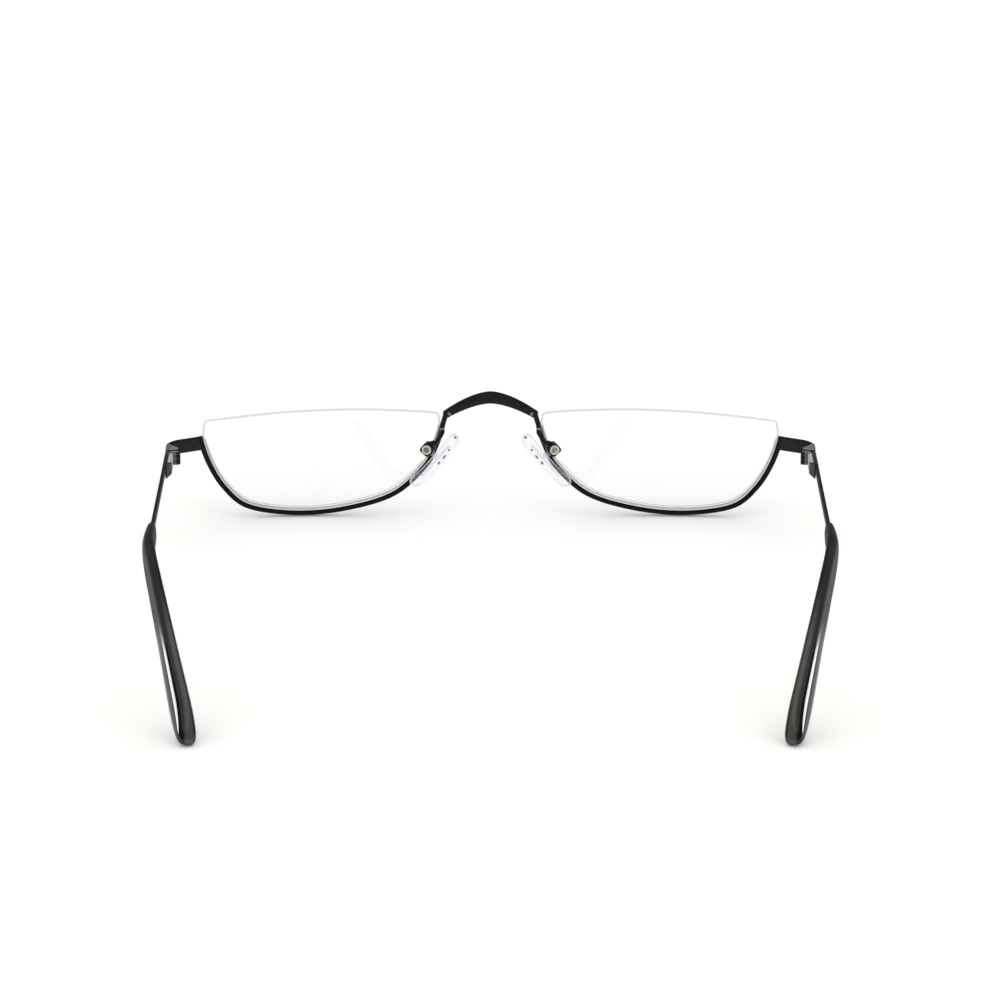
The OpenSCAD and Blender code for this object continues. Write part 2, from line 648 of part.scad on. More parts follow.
module hinge_spring() {
    steps = spring_turns * spring_steps;
    pitch = (spring_y1 - spring_y0) / spring_turns;
    rings = [for (i = [0:steps]) let(a = 360 * i / spring_steps, y = -spring_y0 - pitch * i / spring_steps)
        tube_ring([bore_x + spring_r * cos(a), y, spring_r * sin(a)],
            [-2 * PI * spring_r * sin(a), -pitch, 2 * PI * spring_r * cos(a)], spring_wire_d / 2, 6)];
    color(bare_metal) in_temple() through(rings);
}

module spring_housing() {
    y1 = -housing_y - housing_l;
    outer = strip_in_x - seat_gap;
    plan = [[outer, -housing_y], [outer, y1], [outer - 0.3, y1], [housing_in_x, y1 + housing_taper],
        [housing_in_x, -housing_y - 0.3], [housing_in_x + 0.3, -housing_y]];
    color(grey_metal) in_temple() difference() {
        translate([0, 0, -barrel_h / 2]) linear_extrude(barrel_h) polygon(plan);
        translate([bore_x, -housing_y + past, 0]) rotate([90, 0, 0])
            cylinder(h = housing_bore_l + past, r = housing_bore_r);
    }
}

// Round core along the temple's centre line, from s0 to the end of the core
module core(s0, r, extra) {
    l1 = drop_l - core_short + extra;
    translate([strip_x, 0, 0]) {
        translate([0, -s0, 0]) rotate([90, 0, 0]) cylinder(h = bend_y - s0 + core_lap, r = r);
        rotate([0, bend_lean, 0]) translate([0, -bend_y, -bend_r]) {
            rotate([0, -90, 0]) rotate([0, 0, -bend_angle]) rotate_extrude(angle = bend_angle)
                translate([bend_r, 0]) circle(r + core_swell);
            rotate([bend_angle, 0, 0]) translate([0, core_lap, bend_r]) rotate([90, 0, 0])
                cylinder(h = l1 + core_lap, r = r);
        }
    }
}

module temple() {
    front_y = butt_y - 0.05;
    end_y = -tip_mouth_y - strip_tuck;
    // The strip's outer face has bevelled edges
    section = [[-strip_t / 2, -strip_h / 2], [0.1, -strip_h / 2], [strip_t / 2, -strip_h / 2 + strip_bevel],
        [strip_t / 2, strip_h / 2 - strip_bevel], [0.1, strip_h / 2], [-strip_t / 2, strip_h / 2]];
    heights = [[front_y, strip_h], [-housing_y, strip_h],
        [-housing_y - housing_l, strip_mid_h], [end_y, strip_end_h]];
    side_view = concat([for (p = heights) [p.x, p.y / 2]],
        [for (i = [3:-1:0]) [heights[i].x, -heights[i].y / 2]]);
    color(black_metal) in_temple() {
        difference() {
            intersection() {
                translate([strip_in_x, 0, 0]) rotate([90, 0, 90]) linear_extrude(strip_t) polygon(side_view);
                translate([strip_x, front_y, 0]) rotate([90, 0, 0]) linear_extrude(2 * path_l)
                    polygon(section);
            }
            // The outer face steps in at the mouth, so that the tip doesn't overhang it
            translate([axis_in - tuck_step, -tip_mouth_y - 2 * strip_tuck + tuck_step, -strip_h])
                cube([strip_t, 2 * strip_tuck, 2 * strip_h]);
        }
        core(tip_mouth_y + strip_tuck - past, core_r, 0);
    }
}

module temple_tip() {
    pocket = [strip_t + 2 * seat_gap, strip_tuck + seat_gap + past, strip_end_h + 2 * seat_gap + 0.06];
    color(glossy_black) in_temple() difference() {
        through(tip_rings);
        translate([strip_x - pocket.x / 2, -tip_mouth_y - strip_tuck - seat_gap, -pocket.z / 2])
            cube(pocket);
        core(tip_mouth_y + strip_tuck - past, core_r + seat_gap, seat_gap);
    }
}

module pad_box() {
    color(black_metal) in_pad() difference() {
        translate([-pad_box / 2, -pad_box_w / 2, -pad_box / 2]) cube([pad_box, pad_box_w, pad_box]);
        translate([-pad_box / 2 - past, -pad_slot / 2, -pad_box / 2 - past])
            cube([pad_box - box_wall + past, pad_slot, pad_box - box_wall + past]);
        rotate([90, 0, 0]) translate([0, 0, -pad_box_w])
            cylinder(h = 2 * pad_box_w, r = pad_screw_r + seat_gap);
    }
}

module pad_screw() {
    color(bare_metal) in_pad() translate([0, -pad_box_w / 2 - seat_gap, 0]) rotate([90, 0, 0])
        slotted_screw(pad_screw_r, pad_box_w, pad_head_r, pad_head_h);
}

// Wire from the rim's rear face back and down to the top of the pad box
module pad_arm() {
    start = [for (p = rim_round) if (p.y > pad_arm_v) p][0];
    at_rim = front_point(start - [rim_t / 2 + arm_out, 0], groove_y(start));
    face = [-sin(pad_lean), 0, cos(pad_lean)];
    at_box = pad_point + pad_box / 2 * face - arm_side * [cos(pad_lean), 0, sin(pad_lean)];
    pts = [at_rim, at_rim - [0, rim_depth / 2 + arm_back, 0], at_box - 0.3 * face];
    color(black_metal) difference() {
        intersection() {
            in_place() for (i = [0:len(pts) - 2]) {
                d = pts[i + 1] - pts[i];
                translate(pts[i]) rotate([0, acos(d.z / norm(d)), atan2(d.y, d.x)])
                    cylinder(h = norm(d), d = pad_arm_d);
                if (i > 0) translate(pts[i]) sphere(d = pad_arm_d + 2 * core_swell);
            }
            in_front() ball(groove_r - rim_depth / 2 - seat_gap);
        }
        in_pad() translate([-pad_box, -pad_box, -2 * pad_box + pad_box / 2 + seat_gap]) cube(2 * pad_box);
    }
}

// Hard core moulded into the pad, with the tab that the pad screw passes
module pad_core() {
    color(clear_nylon) in_pad() difference() {
        union() {
            translate(pad_mid) translate([-pad_core_t / 2, -pad_core_w / 2, -pad_core_l / 2])
                cube([pad_core_t, pad_core_w, pad_core_l]);
            translate([-pad_off, -tab_t / 2, -tab_h / 2]) cube([pad_off, tab_t, tab_h]);
            rotate([90, 0, 0]) translate([0, 0, -tab_t / 2]) cylinder(h = tab_t, r = tab_r);
        }
        rotate([90, 0, 0]) translate([0, 0, -pad_box]) cylinder(h = 2 * pad_box, r = pad_screw_r + run_gap);
    }
}

// Soft clear pad: rounded oblong layers, domed on both faces
module nose_pad() {
    rings = [for (i = [0:pad_rings]) pad_ring(-pad_steep + 2 * pad_steep * i / pad_rings)];
    color(clear_silicone, 0.6) in_pad() difference() {
        translate(pad_mid) through(rings);
        translate(pad_mid)
            translate([-pad_core_t / 2 - seat_gap, -pad_core_w / 2 - seat_gap, -pad_core_l / 2 - seat_gap])
            cube([pad_core_t + 2 * seat_gap, pad_core_w + 2 * seat_gap, pad_core_l + 2 * seat_gap]);
        translate([-pad_off, -tab_t / 2 - seat_gap, -tab_h / 2 - seat_gap])
            cube([pad_off, tab_t + 2 * seat_gap, tab_h + 2 * seat_gap]);
    }
}

bridge();
on_left() rim();  // left_rim
rim();  // right_rim
on_left() rim_liner();  // left_rim_liner
rim_liner();  // right_rim_liner
on_left() lens();  // left_lens
lens();  // right_lens
on_left() lens_cord();  // left_lens_cord
lens_cord();  // right_lens_cord
on_left() end_piece();  // left_end_piece
end_piece();  // right_end_piece
on_left() hinge_leaf();  // left_hinge_leaf
hinge_leaf();  // right_hinge_leaf
on_left() hinge_screw();  // left_hinge_screw
hinge_screw();  // right_hinge_screw
on_left() hinge_tongue();  // left_hinge_tongue
hinge_tongue();  // right_hinge_tongue
on_left() hinge_bush();  // left_hinge_bush
hinge_bush();  // right_hinge_bush
on_left() hinge_spring();  // left_hinge_spring
hinge_spring();  // right_hinge_spring
on_left() spring_housing();  // left_spring_housing
spring_housing();  // right_spring_housing
on_left() temple();  // left_temple
temple();  // right_temple
on_left() temple_tip();  // left_temple_tip
temple_tip();  // right_temple_tip
on_left() pad_arm();  // left_pad_arm
pad_arm();  // right_pad_arm
on_left() pad_box();  // left_pad_box
pad_box();  // right_pad_box
on_left() pad_screw();  // left_pad_screw
pad_screw();  // right_pad_screw
on_left() pad_core();  // left_pad_core
pad_core();  // right_pad_core
on_left() nose_pad();  // left_nose_pad
nose_pad();  // right_nose_pad
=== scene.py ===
import bmesh
import bpy
import json
import math
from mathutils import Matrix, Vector

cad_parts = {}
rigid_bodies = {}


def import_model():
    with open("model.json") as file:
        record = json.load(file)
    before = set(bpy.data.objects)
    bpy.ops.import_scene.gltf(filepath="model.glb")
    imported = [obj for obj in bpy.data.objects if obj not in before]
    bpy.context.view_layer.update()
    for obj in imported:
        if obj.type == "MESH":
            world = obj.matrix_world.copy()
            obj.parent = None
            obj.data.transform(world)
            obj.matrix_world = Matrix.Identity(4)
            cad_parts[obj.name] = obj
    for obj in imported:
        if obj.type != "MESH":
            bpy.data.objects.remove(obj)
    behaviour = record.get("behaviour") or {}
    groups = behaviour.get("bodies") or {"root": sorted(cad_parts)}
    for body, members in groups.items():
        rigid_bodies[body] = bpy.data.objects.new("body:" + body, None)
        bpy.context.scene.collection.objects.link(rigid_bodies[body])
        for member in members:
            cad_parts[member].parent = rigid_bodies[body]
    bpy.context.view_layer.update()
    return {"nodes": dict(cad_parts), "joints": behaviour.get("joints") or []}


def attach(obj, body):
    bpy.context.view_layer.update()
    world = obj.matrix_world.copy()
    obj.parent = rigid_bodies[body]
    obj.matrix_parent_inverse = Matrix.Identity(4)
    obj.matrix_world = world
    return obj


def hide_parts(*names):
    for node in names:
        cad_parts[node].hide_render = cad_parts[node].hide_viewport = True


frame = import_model()

MM = 0.001
SIDES = (("right", 1), ("left", -1))

# Sizes repeated from the part's source, in millimetres and degrees
LENS_W, LENS_H, LENS_GAP = 48.6, 20.8, 20.0
LENS_FRONT_R, LENS_REAR_R, LENS_T = 95.0, 150.0, 2.9
GROOVE_D, GROOVE_IN, LEAN = 0.45, 0.85, 11.0
RIM_T, RIM_DEPTH = 1.05, 1.6
CORD_D, STUB, STUB_LEAN = 0.5, 2.1, 17.0
BRIDGE_CROWN, BRIDGE_DROP, BRIDGE_H, BRIDGE_END_H = 3.7, 4.05, 2.5, 1.8
BRIDGE_T, BRIDGE_BOW, BRIDGE_SHAPE = 1.2, 0.9, 1.65
END_T, END_H, END_LIFT, END_DROP, END_CORNER_R = 1.0, 2.85, 0.39, 0.78, 3.4
END_REACH, END_SWEEP, AXIS_IN, AXIS_BACK = 7.1, 14.0, 2.2, 7.6
BUTT_Y, LEAF_L = 1.75, 2.2
HOUSING_L, HOUSING_Y = 13.4, 2.2
STRIP_T, STRIP_H, STRIP_MID_H, STRIP_BEVEL = 0.65, 2.6, 1.5, 0.5
RISE, TOE_IN = 6.5, 2.9
BEND_Y, BEND_R, BEND_ANGLE, BEND_LEAN = 86.5, 13.0, 45.0, 15.2
MOUTH_Y, MOUTH_T, MOUTH_H, SWELL = 73.5, 1.35, 2.9, 14.5
TIP_BEND_T, TIP_BEND_H, TIP_END_T, TIP_END_H = 2.3, 4.0, 3.45, 5.0
ROUND_L, TAPER_L, TIP_ROLL, TIP_ROLL_L, TUCK = 3.0, 8.0, 15.5, 34.0, 3.0
TIP_POWER, SIDE_POWER, TAPER_POWER = 2.4, 3.0, 2
PAD_L, PAD_W, PAD_T, PAD_LEAN, PAD_SPLAY, PAD_BOW = 14.0, 6.8, 2.4, 41.0, 12.0, 0.6
PAD_OFF, PAD_LOW, PAD_BOX, PAD_BOX_W, PAD_SLOT = 2.75, 0.8, 2.4, 2.5, 1.1
PAD_ARM_D, PAD_ARM_LOW, ARM_BACK, ARM_OUT, ARM_SIDE = 1.1, 1.8, 1.1, 0.2, 0.5

# The lens outline as shares of its width and height, from the nose side over the top and round. The rim runs
# along its lower part, from RIM_TOP_SHARE of the span before knot RIM_FIRST to RIM_LAST_SHARE of the first span.
KNOTS = [(0.007, 0.832), (0.0065, 0.918), (0.0095, 0.952), (0.018, 0.972), (0.041, 0.983), (0.096, 0.99),
    (0.216, 0.998), (0.391, 1), (0.617, 0.979), (0.823, 0.938), (0.925, 0.9125), (0.972, 0.9), (0.99, 0.889),
    (0.9965, 0.869), (0.9985, 0.83), (0.999, 0.722), (0.9645, 0.482), (0.9025, 0.246), (0.8065, 0.066),
    (0.617, 0), (0.412, 0.04), (0.21, 0.184), (0.08, 0.45), (0.034, 0.646)]
RIM_FIRST, RIM_TOP_SHARE, RIM_LAST_SHARE = 15, 0.88, 0.25

joints = {j["name"]: j for j in frame["joints"]}
hinge_point = [v / MM for v in joints["right_fold"]["pos_m"]]
pad_point = [v / MM for v in joints["right_pad_rock"]["pos_m"]]
shift_y = hinge_point[1] + AXIS_BACK


def sin(a): return math.sin(math.radians(a))
def cos(a): return math.cos(math.radians(a))
def add(a, b, k=1.0): return tuple(x + k * y for x, y in zip(a, b))
def part_way(a, b, t): return tuple(x + t * (y - x) for x, y in zip(a, b))
def unit(v):
    n = math.sqrt(sum(x * x for x in v))
    return tuple(x / n for x in v)
def cross(a, b): return (a[1] * b[2] - a[2] * b[1], a[2] * b[0] - a[0] * b[2], a[0] * b[1] - a[1] * b[0])
def turned_x(p, a): return (p[0], p[1] * cos(a) - p[2] * sin(a), p[1] * sin(a) + p[2] * cos(a))
def turned_y(p, a): return (p[0] * cos(a) + p[2] * sin(a), p[1], -p[0] * sin(a) + p[2] * cos(a))
def turned_z(p, a): return (p[0] * cos(a) - p[1] * sin(a), p[0] * sin(a) + p[1] * cos(a), p[2])
def squared(v, power): return math.copysign(abs(v) ** (2 / power), v)
def held(t): return min(max(t, 0.0), 1.0)
def smoothed(t): return held(t) ** 2 * (3 - 2 * held(t))
def mixed(a, b, t): return a + (b - a) * held(t)
def middle_of(points): return tuple(sum(p[j] for p in points) / len(points) for j in range(3))
def around(sides): return [360 * k / sides for k in range(sides)]


# Outlines in the plane of the front: across, up
def curve_point(k, i, t):
    """A point of the smooth closed curve through the knots k, at share t of the way from knot i to the next."""
    n = len(k)
    a, b, c, d = k[(i - 1) % n], k[i % n], k[(i + 1) % n], k[(i + 2) % n]
    return tuple(0.5 * (2 * q + (r - p) * t + (2 * p - 5 * q + 4 * r - s) * t * t
        + (3 * q - p - 3 * r + s) * t ** 3) for p, q, r, s in zip(a, b, c, d))


def beside(p, i, d, closed=False):
    """Point i of the line p moved by d to its left."""
    n = len(p)
    a, b = (p[(i - 1) % n], p[(i + 1) % n]) if closed else (p[max(i - 1, 0)], p[min(i + 1, n - 1)])
    t = unit((b[0] - a[0], b[1] - a[1]))
    return (p[i][0] - d * t[1], p[i][1] + d * t[0])


def grown(p, d): return [beside(p, i, d, True) for i in range(len(p))]


STEPS, COARSE_STEPS, END_STEPS = 14, 4, 3
knots = [(LENS_GAP / 2 + k[0] * LENS_W, RIM_T + k[1] * LENS_H) for k in KNOTS]
outline = [curve_point(knots, i, j / STEPS) for i in range(len(knots)) for j in range(STEPS)]
rim_start = RIM_FIRST * STEPS
lens_mid = (LENS_GAP / 2 + LENS_W / 2, RIM_T + LENS_H / 2)
groove_r = LENS_FRONT_R - GROOVE_IN
ball_y = -math.sqrt(groove_r ** 2 - (LENS_H / 2) ** 2)
rear_ball_y = ball_y + LENS_FRONT_R - LENS_T - LENS_REAR_R


def on_ball(p, r, y=ball_y):
    """How far ahead a sphere of radius r round the lens's middle lies at a point of the front."""
    return y + math.sqrt(r * r - (p[0] - lens_mid[0]) ** 2 - (p[1] - lens_mid[1]) ** 2)


def in_groove(p): return on_ball(p, groove_r)


# The inner edge of the rim, the end of the stub up to the bridge, and the height of the front above the floor
round_last = int((len(knots) + RIM_LAST_SHARE) * STEPS)
rim_round = [curve_point(knots, RIM_FIRST - 1, mixed(RIM_TOP_SHARE, 1, j / END_STEPS)) for j in range(END_STEPS)]
rim_round += [outline[i % len(outline)] for i in range(rim_start, round_last + 1)]
rim_round.append(curve_point(knots, 0, RIM_LAST_SHARE))
stub_end = (rim_round[-1][0] - STUB * sin(STUB_LEAN), rim_round[-1][1] + STUB * cos(STUB_LEAN))
coarse = [curve_point(knots, RIM_FIRST - 1, RIM_TOP_SHARE)]
coarse += [curve_point(knots, i, j / COARSE_STEPS) for i in range(RIM_FIRST, len(knots)) for j in range(COARSE_STEPS)]
coarse += [curve_point(knots, 0, 0), curve_point(knots, 0, RIM_LAST_SHARE)]
rim_lows = [beside(coarse, i, RIM_T) for i in range(len(coarse))]
front_lift = -min(q[1] * cos(LEAN) - (in_groove(q) + RIM_DEPTH / 2) * sin(LEAN) for q in rim_lows)


# From the plane of the front (and back to it), the hinge, the temple and the pad to the frame's millimetres
def in_front(p, y):
    q = turned_x((p[0], y, p[1]), -LEAN)
    return (q[0], q[1] + shift_y, q[2] + front_lift)


def front_plane(p):
    q = turned_x((p[0], p[1] - shift_y, p[2] - front_lift), LEAN)
    return (q[0], q[2])


def end_point(x, y, z): return add(hinge_point, (x, y, z))
def temple_dir(v): return turned_x(turned_z(v, -TOE_IN), -RISE)
def in_temple(p): return add(hinge_point, temple_dir(p))
def pad_dir(v): return turned_y(turned_z(v, PAD_SPLAY), -PAD_LEAN)
def in_pad(p): return add(pad_point, pad_dir(p))


# Meshes
WELD = 1e-7


def piece(name, mesh, mat, body, slot, nodes=(), sharp=35, side=1):
    """A smooth mesh from points in millimetres on the right side, mirrored where side is -1.

    It rides on a body, takes the place of those nodes, and keeps the edges that are sharper than that angle.
    The slot is not used.
    """
    verts, faces = mesh
    bm = bmesh.new()
    vs = [bm.verts.new((side * v[0] * MM, v[1] * MM, v[2] * MM)) for v in verts]
    for f in faces:
        bm.faces.new([vs[i] for i in f])
    bmesh.ops.remove_doubles(bm, verts=bm.verts, dist=WELD)
    bmesh.ops.recalc_face_normals(bm, faces=bm.faces)
    for f in bm.faces:
        f.smooth = True
    me = bpy.data.meshes.new(name)
    bm.to_mesh(me)
    bm.free()
    me.set_sharp_from_angle(angle=math.radians(sharp))
    me.materials.append(mat)
    ob = bpy.data.objects.new(name, me)
    bpy.context.scene.collection.objects.link(ob)
    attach(ob, body)
    if nodes:
        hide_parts(*nodes)
    return ob


def pairs(*kinds):
    """The same pieces on both sides, with those of the right side first.

    Each kind is the ending of its name, its mesh, material, body and slot, the node that it takes the place
    of, if any, and the angle of the edges that it keeps. A body that starts with _ is that side's own, and
    so is the node.
    """
    obs = []
    for name, side in SIDES:
        for ending, mesh, mat, body, slot, node, sharp in kinds:
            on = name + body if body.startswith("_") else body
            obs.append(piece(name + ending, mesh, mat, on, slot, [name + node] if node else (), sharp, side))
    return obs


def pair(ending, mesh, mat, body, slot, node=None, sharp=35):
    return pairs((ending, mesh, mat, body, slot, node, sharp))


def skin(rings, closed=False, caps=True):
    """Points and faces of the surface through rings that each have as many points."""
    n, m = len(rings[0]), len(rings)
    verts = [p for r in rings for p in r]
    faces = [(i * n + k, (i + 1) % m * n + k, (i + 1) % m * n + (k + 1) % n, i * n + (k + 1) % n)
        for i in range(m if closed else m - 1) for k in range(n)]
    if caps and not closed:
        for ring, first in ((rings[0], 0), (rings[-1], (m - 1) * n)):
            verts.append(middle_of(ring))
            faces += [(first + k, first + (k + 1) % n, len(verts) - 1) for k in range(n)]
    return verts, faces


def joined(*meshes):
    verts, faces = [], []
    for v, f in meshes:
        faces += [tuple(i + len(verts) for i in g) for g in f]
        verts += v
    return verts, faces


def rounded(w, h, r, n=5):
    """Rectangle of that width and height round its middle, with rounded corners."""
    pts = []
    for cx, cy, a0 in ((1, 1, 0), (-1, 1, 90), (-1, -1, 180), (1, -1, 270)):
        for j in range(n + 1):
            a = a0 + 90 * j / n
            pts.append((cx * (w / 2 - r) + r * cos(a), cy * (h / 2 - r) + r * sin(a)))
    return pts


def tube(path, radius, sides):
    """A round wire along the path. Its radius is a number, or a function of the share of the way."""
    rings = []
    a = unit(cross(add(path[1], path[0], -1), (0.13, 0.29, 1)))
    for i, p in enumerate(path):
        t = unit(add(path[min(i + 1, len(path) - 1)], path[max(i - 1, 0)], -1))
        a = unit(add(a, t, -sum(x * y for x, y in zip(a, t))))
        b = cross(t, a)
        r = radius(i / (len(path) - 1)) if callable(radius) else radius
        rings.append([add(add(p, a, r * cos(q)), b, r * sin(q)) for q in around(sides)])
    return skin(rings)


def bezier(a, b, c, d, n):
    return [tuple((1 - t) ** 3 * p + 3 * (1 - t) ** 2 * t * q + 3 * (1 - t) * t * t * r + t ** 3 * s
        for p, q, r, s in zip(a, b, c, d)) for t in (i / n for i in range(n + 1))]


def blob(middle, axes, sizes, sides=14, layers=9):
    """A smooth lump with three half sizes along three directions."""
    rings = []
    for i in range(1, layers):
        a = 180 * i / layers
        centre = add(middle, axes[2], sizes[2] * cos(a))
        rings.append([add(add(centre, axes[0], sizes[0] * sin(a) * cos(q)), axes[1], sizes[1] * sin(a) * sin(q))
            for q in around(sides)])
    return skin(rings)


# Shader nodes
def node_tree(name):
    mat = bpy.data.materials.new(name)
    mat.use_nodes = True
    nt = mat.node_tree
    return mat, nt, nt.nodes["Principled BSDF"], nt.nodes.new("ShaderNodeTexCoord")


def noise(nt, coord, scale, detail=3.0):
    tex = nt.nodes.new("ShaderNodeTexNoise")
    tex.inputs["Scale"].default_value = scale
    tex.inputs["Detail"].default_value = detail
    nt.links.new(coord.outputs["Object"], tex.inputs["Vector"])
    return tex.outputs["Fac"]


def two_tone(nt, fac, dark, light):
    """From dark to light where a noise runs over its middle part."""
    r = nt.nodes.new("ShaderNodeValToRGB")
    for e, at, colour in zip(r.color_ramp.elements, (0.3, 0.7), (dark, light)):
        e.position = at
        e.color = (*colour, 1)
    nt.links.new(fac, r.inputs["Fac"])
    return r.outputs["Color"]


def spread(nt, fac, low, high):
    m = nt.nodes.new("ShaderNodeMapRange")
    m.inputs["To Min"].default_value = low
    m.inputs["To Max"].default_value = high
    nt.links.new(fac, m.inputs["Value"])
    return m.outputs["Result"]


def value(nt, op, a, b=0.0):
    m = nt.nodes.new("ShaderNodeMath")
    m.operation = op
    for socket, v in zip(m.inputs, (a, b)):
        if isinstance(v, (int, float)):
            socket.default_value = v
        else:
            nt.links.new(v, socket)
    return m.outputs["Value"]


def times(nt, first, *others):
    for v in others:
        first = value(nt, "MULTIPLY", first, v)
    return first


def between(nt, v, low, high):
    """0 at low and 1 at high, and smooth from one to the other."""
    m = nt.nodes.new("ShaderNodeMapRange")
    m.interpolation_type = "SMOOTHSTEP"
    m.inputs["From Min"].default_value = low
    m.inputs["From Max"].default_value = high
    nt.links.new(v, m.inputs["Value"])
    return m.outputs["Result"]


def blended(nt, fac, a, b):
    m = nt.nodes.new("ShaderNodeMixRGB")
    for key, v in (("Fac", fac), ("Color1", a), ("Color2", b)):
        if isinstance(v, tuple):
            m.inputs[key].default_value = (*v, 1)
        else:
            nt.links.new(v, m.inputs[key])
    return m.outputs["Color"]


def places(nt, coord):
    """How far a point lies outside the hinge axis and in front of it, its height, and its normal (outwards,
    ahead, up), in metres."""
    at, way = nt.nodes.new("ShaderNodeSeparateXYZ"), nt.nodes.new("ShaderNodeSeparateXYZ")
    nt.links.new(coord.outputs["Object"], at.inputs[0])
    nt.links.new(coord.outputs["Normal"], way.inputs[0])
    out = value(nt, "SUBTRACT", value(nt, "ABSOLUTE", at.outputs["X"]), hinge_point[0] * MM)
    ahead = value(nt, "SUBTRACT", at.outputs["Y"], hinge_point[1] * MM)
    outwards = times(nt, way.outputs["X"], value(nt, "SIGN", at.outputs["X"]))
    return out, ahead, at.outputs["Z"], (outwards, way.outputs["Y"], way.outputs["Z"])


# Materials
MATTE_RISE = 0.5
BROAD_GRAIN = 12
RELIEF = 0.00002


def coated(name, tones, rough, grain, relief, specular=0.5, metallic=0.0, over=None, matte=None):
    """Coated or bare metal, or hard plastic: a fine grain in colour, roughness and relief.

    A function given as over adds its greyer and bare places and its painted highlights, reflections and
    sheen, and matte is the heights between which the surface gets duller.
    """
    mat, nt, bsdf, coord = node_tree(name)
    fine = noise(nt, coord, grain, 4.0)
    colour = two_tone(nt, noise(nt, coord, grain / BROAD_GRAIN, 2.0), *tones)
    roughness = spread(nt, fine, *rough)
    if matte:
        roughness = value(nt, "ADD", roughness, times(nt, between(nt, places(nt, coord)[2], *matte), MATTE_RISE))
    nt.links.new(over(nt, coord, colour, fine) if over else colour, bsdf.inputs["Base Color"])
    nt.links.new(roughness, bsdf.inputs["Roughness"])
    bsdf.inputs["Metallic"].default_value = metallic
    bsdf.inputs["Specular IOR Level"].default_value = specular
    bump = nt.nodes.new("ShaderNodeBump")
    bump.inputs["Strength"].default_value = relief
    bump.inputs["Distance"].default_value = RELIEF
    nt.links.new(fine, bump.inputs["Height"])
    nt.links.new(bump.outputs["Normal"], bsdf.inputs["Normal"])
    return mat


THIN_OUT, THIN_SHARE = (-0.007, -0.0135), 0.25


def veil(name, tones, alpha, rough, grain, edge=None, inward=False):
    """Clear stuff seen as a thin veil of colour.

    With edge, which is where it starts, how much it adds and its colour, the veil is denser towards its
    outline. With inward it thins out towards the temples.
    """
    mat, nt, bsdf, coord = node_tree(name)
    fac = noise(nt, coord, grain)
    colour = two_tone(nt, fac, *tones)
    cover = spread(nt, fac, *alpha)
    if edge:
        start, rise, edge_colour = edge
        facing = nt.nodes.new("ShaderNodeLayerWeight")
        facing.inputs["Blend"].default_value = 0.5
        towards = between(nt, facing.outputs["Facing"], start, 1.0)
        colour = blended(nt, towards, colour, edge_colour)
        cover = value(nt, "ADD", cover, times(nt, towards, rise))
    if inward:
        cover = times(nt, cover, spread(nt, between(nt, places(nt, coord)[0], *THIN_OUT), THIN_SHARE, 1.0))
    nt.links.new(colour, bsdf.inputs["Base Color"])
    nt.links.new(cover, bsdf.inputs["Alpha"])
    nt.links.new(spread(nt, fac, *rough), bsdf.inputs["Roughness"])
    bsdf.inputs["Specular IOR Level"].default_value = 0.4
    return mat


def glass(name, rough, ior, passing, grain):
    """Clear glass, whose shadow is as faint as the share of light that passes."""
    mat, nt, bsdf, coord = node_tree(name)
    fac = noise(nt, coord, grain, 2.0)
    nt.links.new(two_tone(nt, fac, (1, 1, 1), (1, 1, 1)), bsdf.inputs["Base Color"])
    nt.links.new(spread(nt, fac, *rough), bsdf.inputs["Roughness"])
    bsdf.inputs["IOR"].default_value = ior
    bsdf.inputs["Specular IOR Level"].default_value = 0.12
    bsdf.inputs["Transmission Weight"].default_value = 1.0
    through = nt.nodes.new("ShaderNodeBsdfTransparent")
    through.inputs["Color"].default_value = (passing, passing, passing, 1)
    mix = nt.nodes.new("ShaderNodeMixShader")
    path = nt.nodes.new("ShaderNodeLightPath")
    nt.links.new(path.outputs["Is Shadow Ray"], mix.inputs["Fac"])
    nt.links.new(bsdf.outputs["BSDF"], mix.inputs[1])
    nt.links.new(through.outputs["BSDF"], mix.inputs[2])
    nt.links.new(mix.outputs["Shader"], nt.nodes["Material Output"].inputs["Surface"])
    return mat


# Greyer and bare places, and painted highlights, reflections and sheen. Each pair of numbers is where a place
# starts and where it is full: a part of the normal, or a distance from the hinge axis or a height in metres.
# TOE_SLOPE is the toe-in as a slope.
TOE_SLOPE = 0.0507


def painted_sheen_on_upright(nt, coord, colour, fine):
    """The coat is painted a little greyer on upright faces than on their rounded edges, a painted sheen."""
    up = places(nt, coord)[3][2]
    upright = between(nt, value(nt, "ABSOLUTE", up), 0.42, 0.25)
    return blended(nt, upright, colour, two_tone(nt, fine, (0.011, 0.011, 0.010), (0.018, 0.018, 0.0165)))


def bare_end(nt, coord, colour, fine):
    """The cut end of the bar, on which the temple butts, is bare, and its upright faces have the painted sheen."""
    out, ahead, height, (outwards, onwards, up) = places(nt, coord)
    cut = times(nt, between(nt, onwards, -0.75, -0.93), between(nt, ahead, 0.0026, 0.0022))
    grey = two_tone(nt, fine, (0.17, 0.17, 0.175), (0.3, 0.3, 0.305))
    return blended(nt, cut, painted_sheen_on_upright(nt, coord, colour, fine), grey)


def painted_knuckle_highlight(nt, coord, colour, fine):
    """The knuckles have a brown-grey painted highlight on their outer side."""
    out, ahead = places(nt, coord)[:2]
    outer_highlight = times(nt, between(nt, out, -0.0003, -0.00005), between(nt, ahead, 0.0012, 0.0007))
    return blended(nt, outer_highlight, colour, two_tone(nt, fine, (0.13, 0.12, 0.115), (0.19, 0.175, 0.165)))


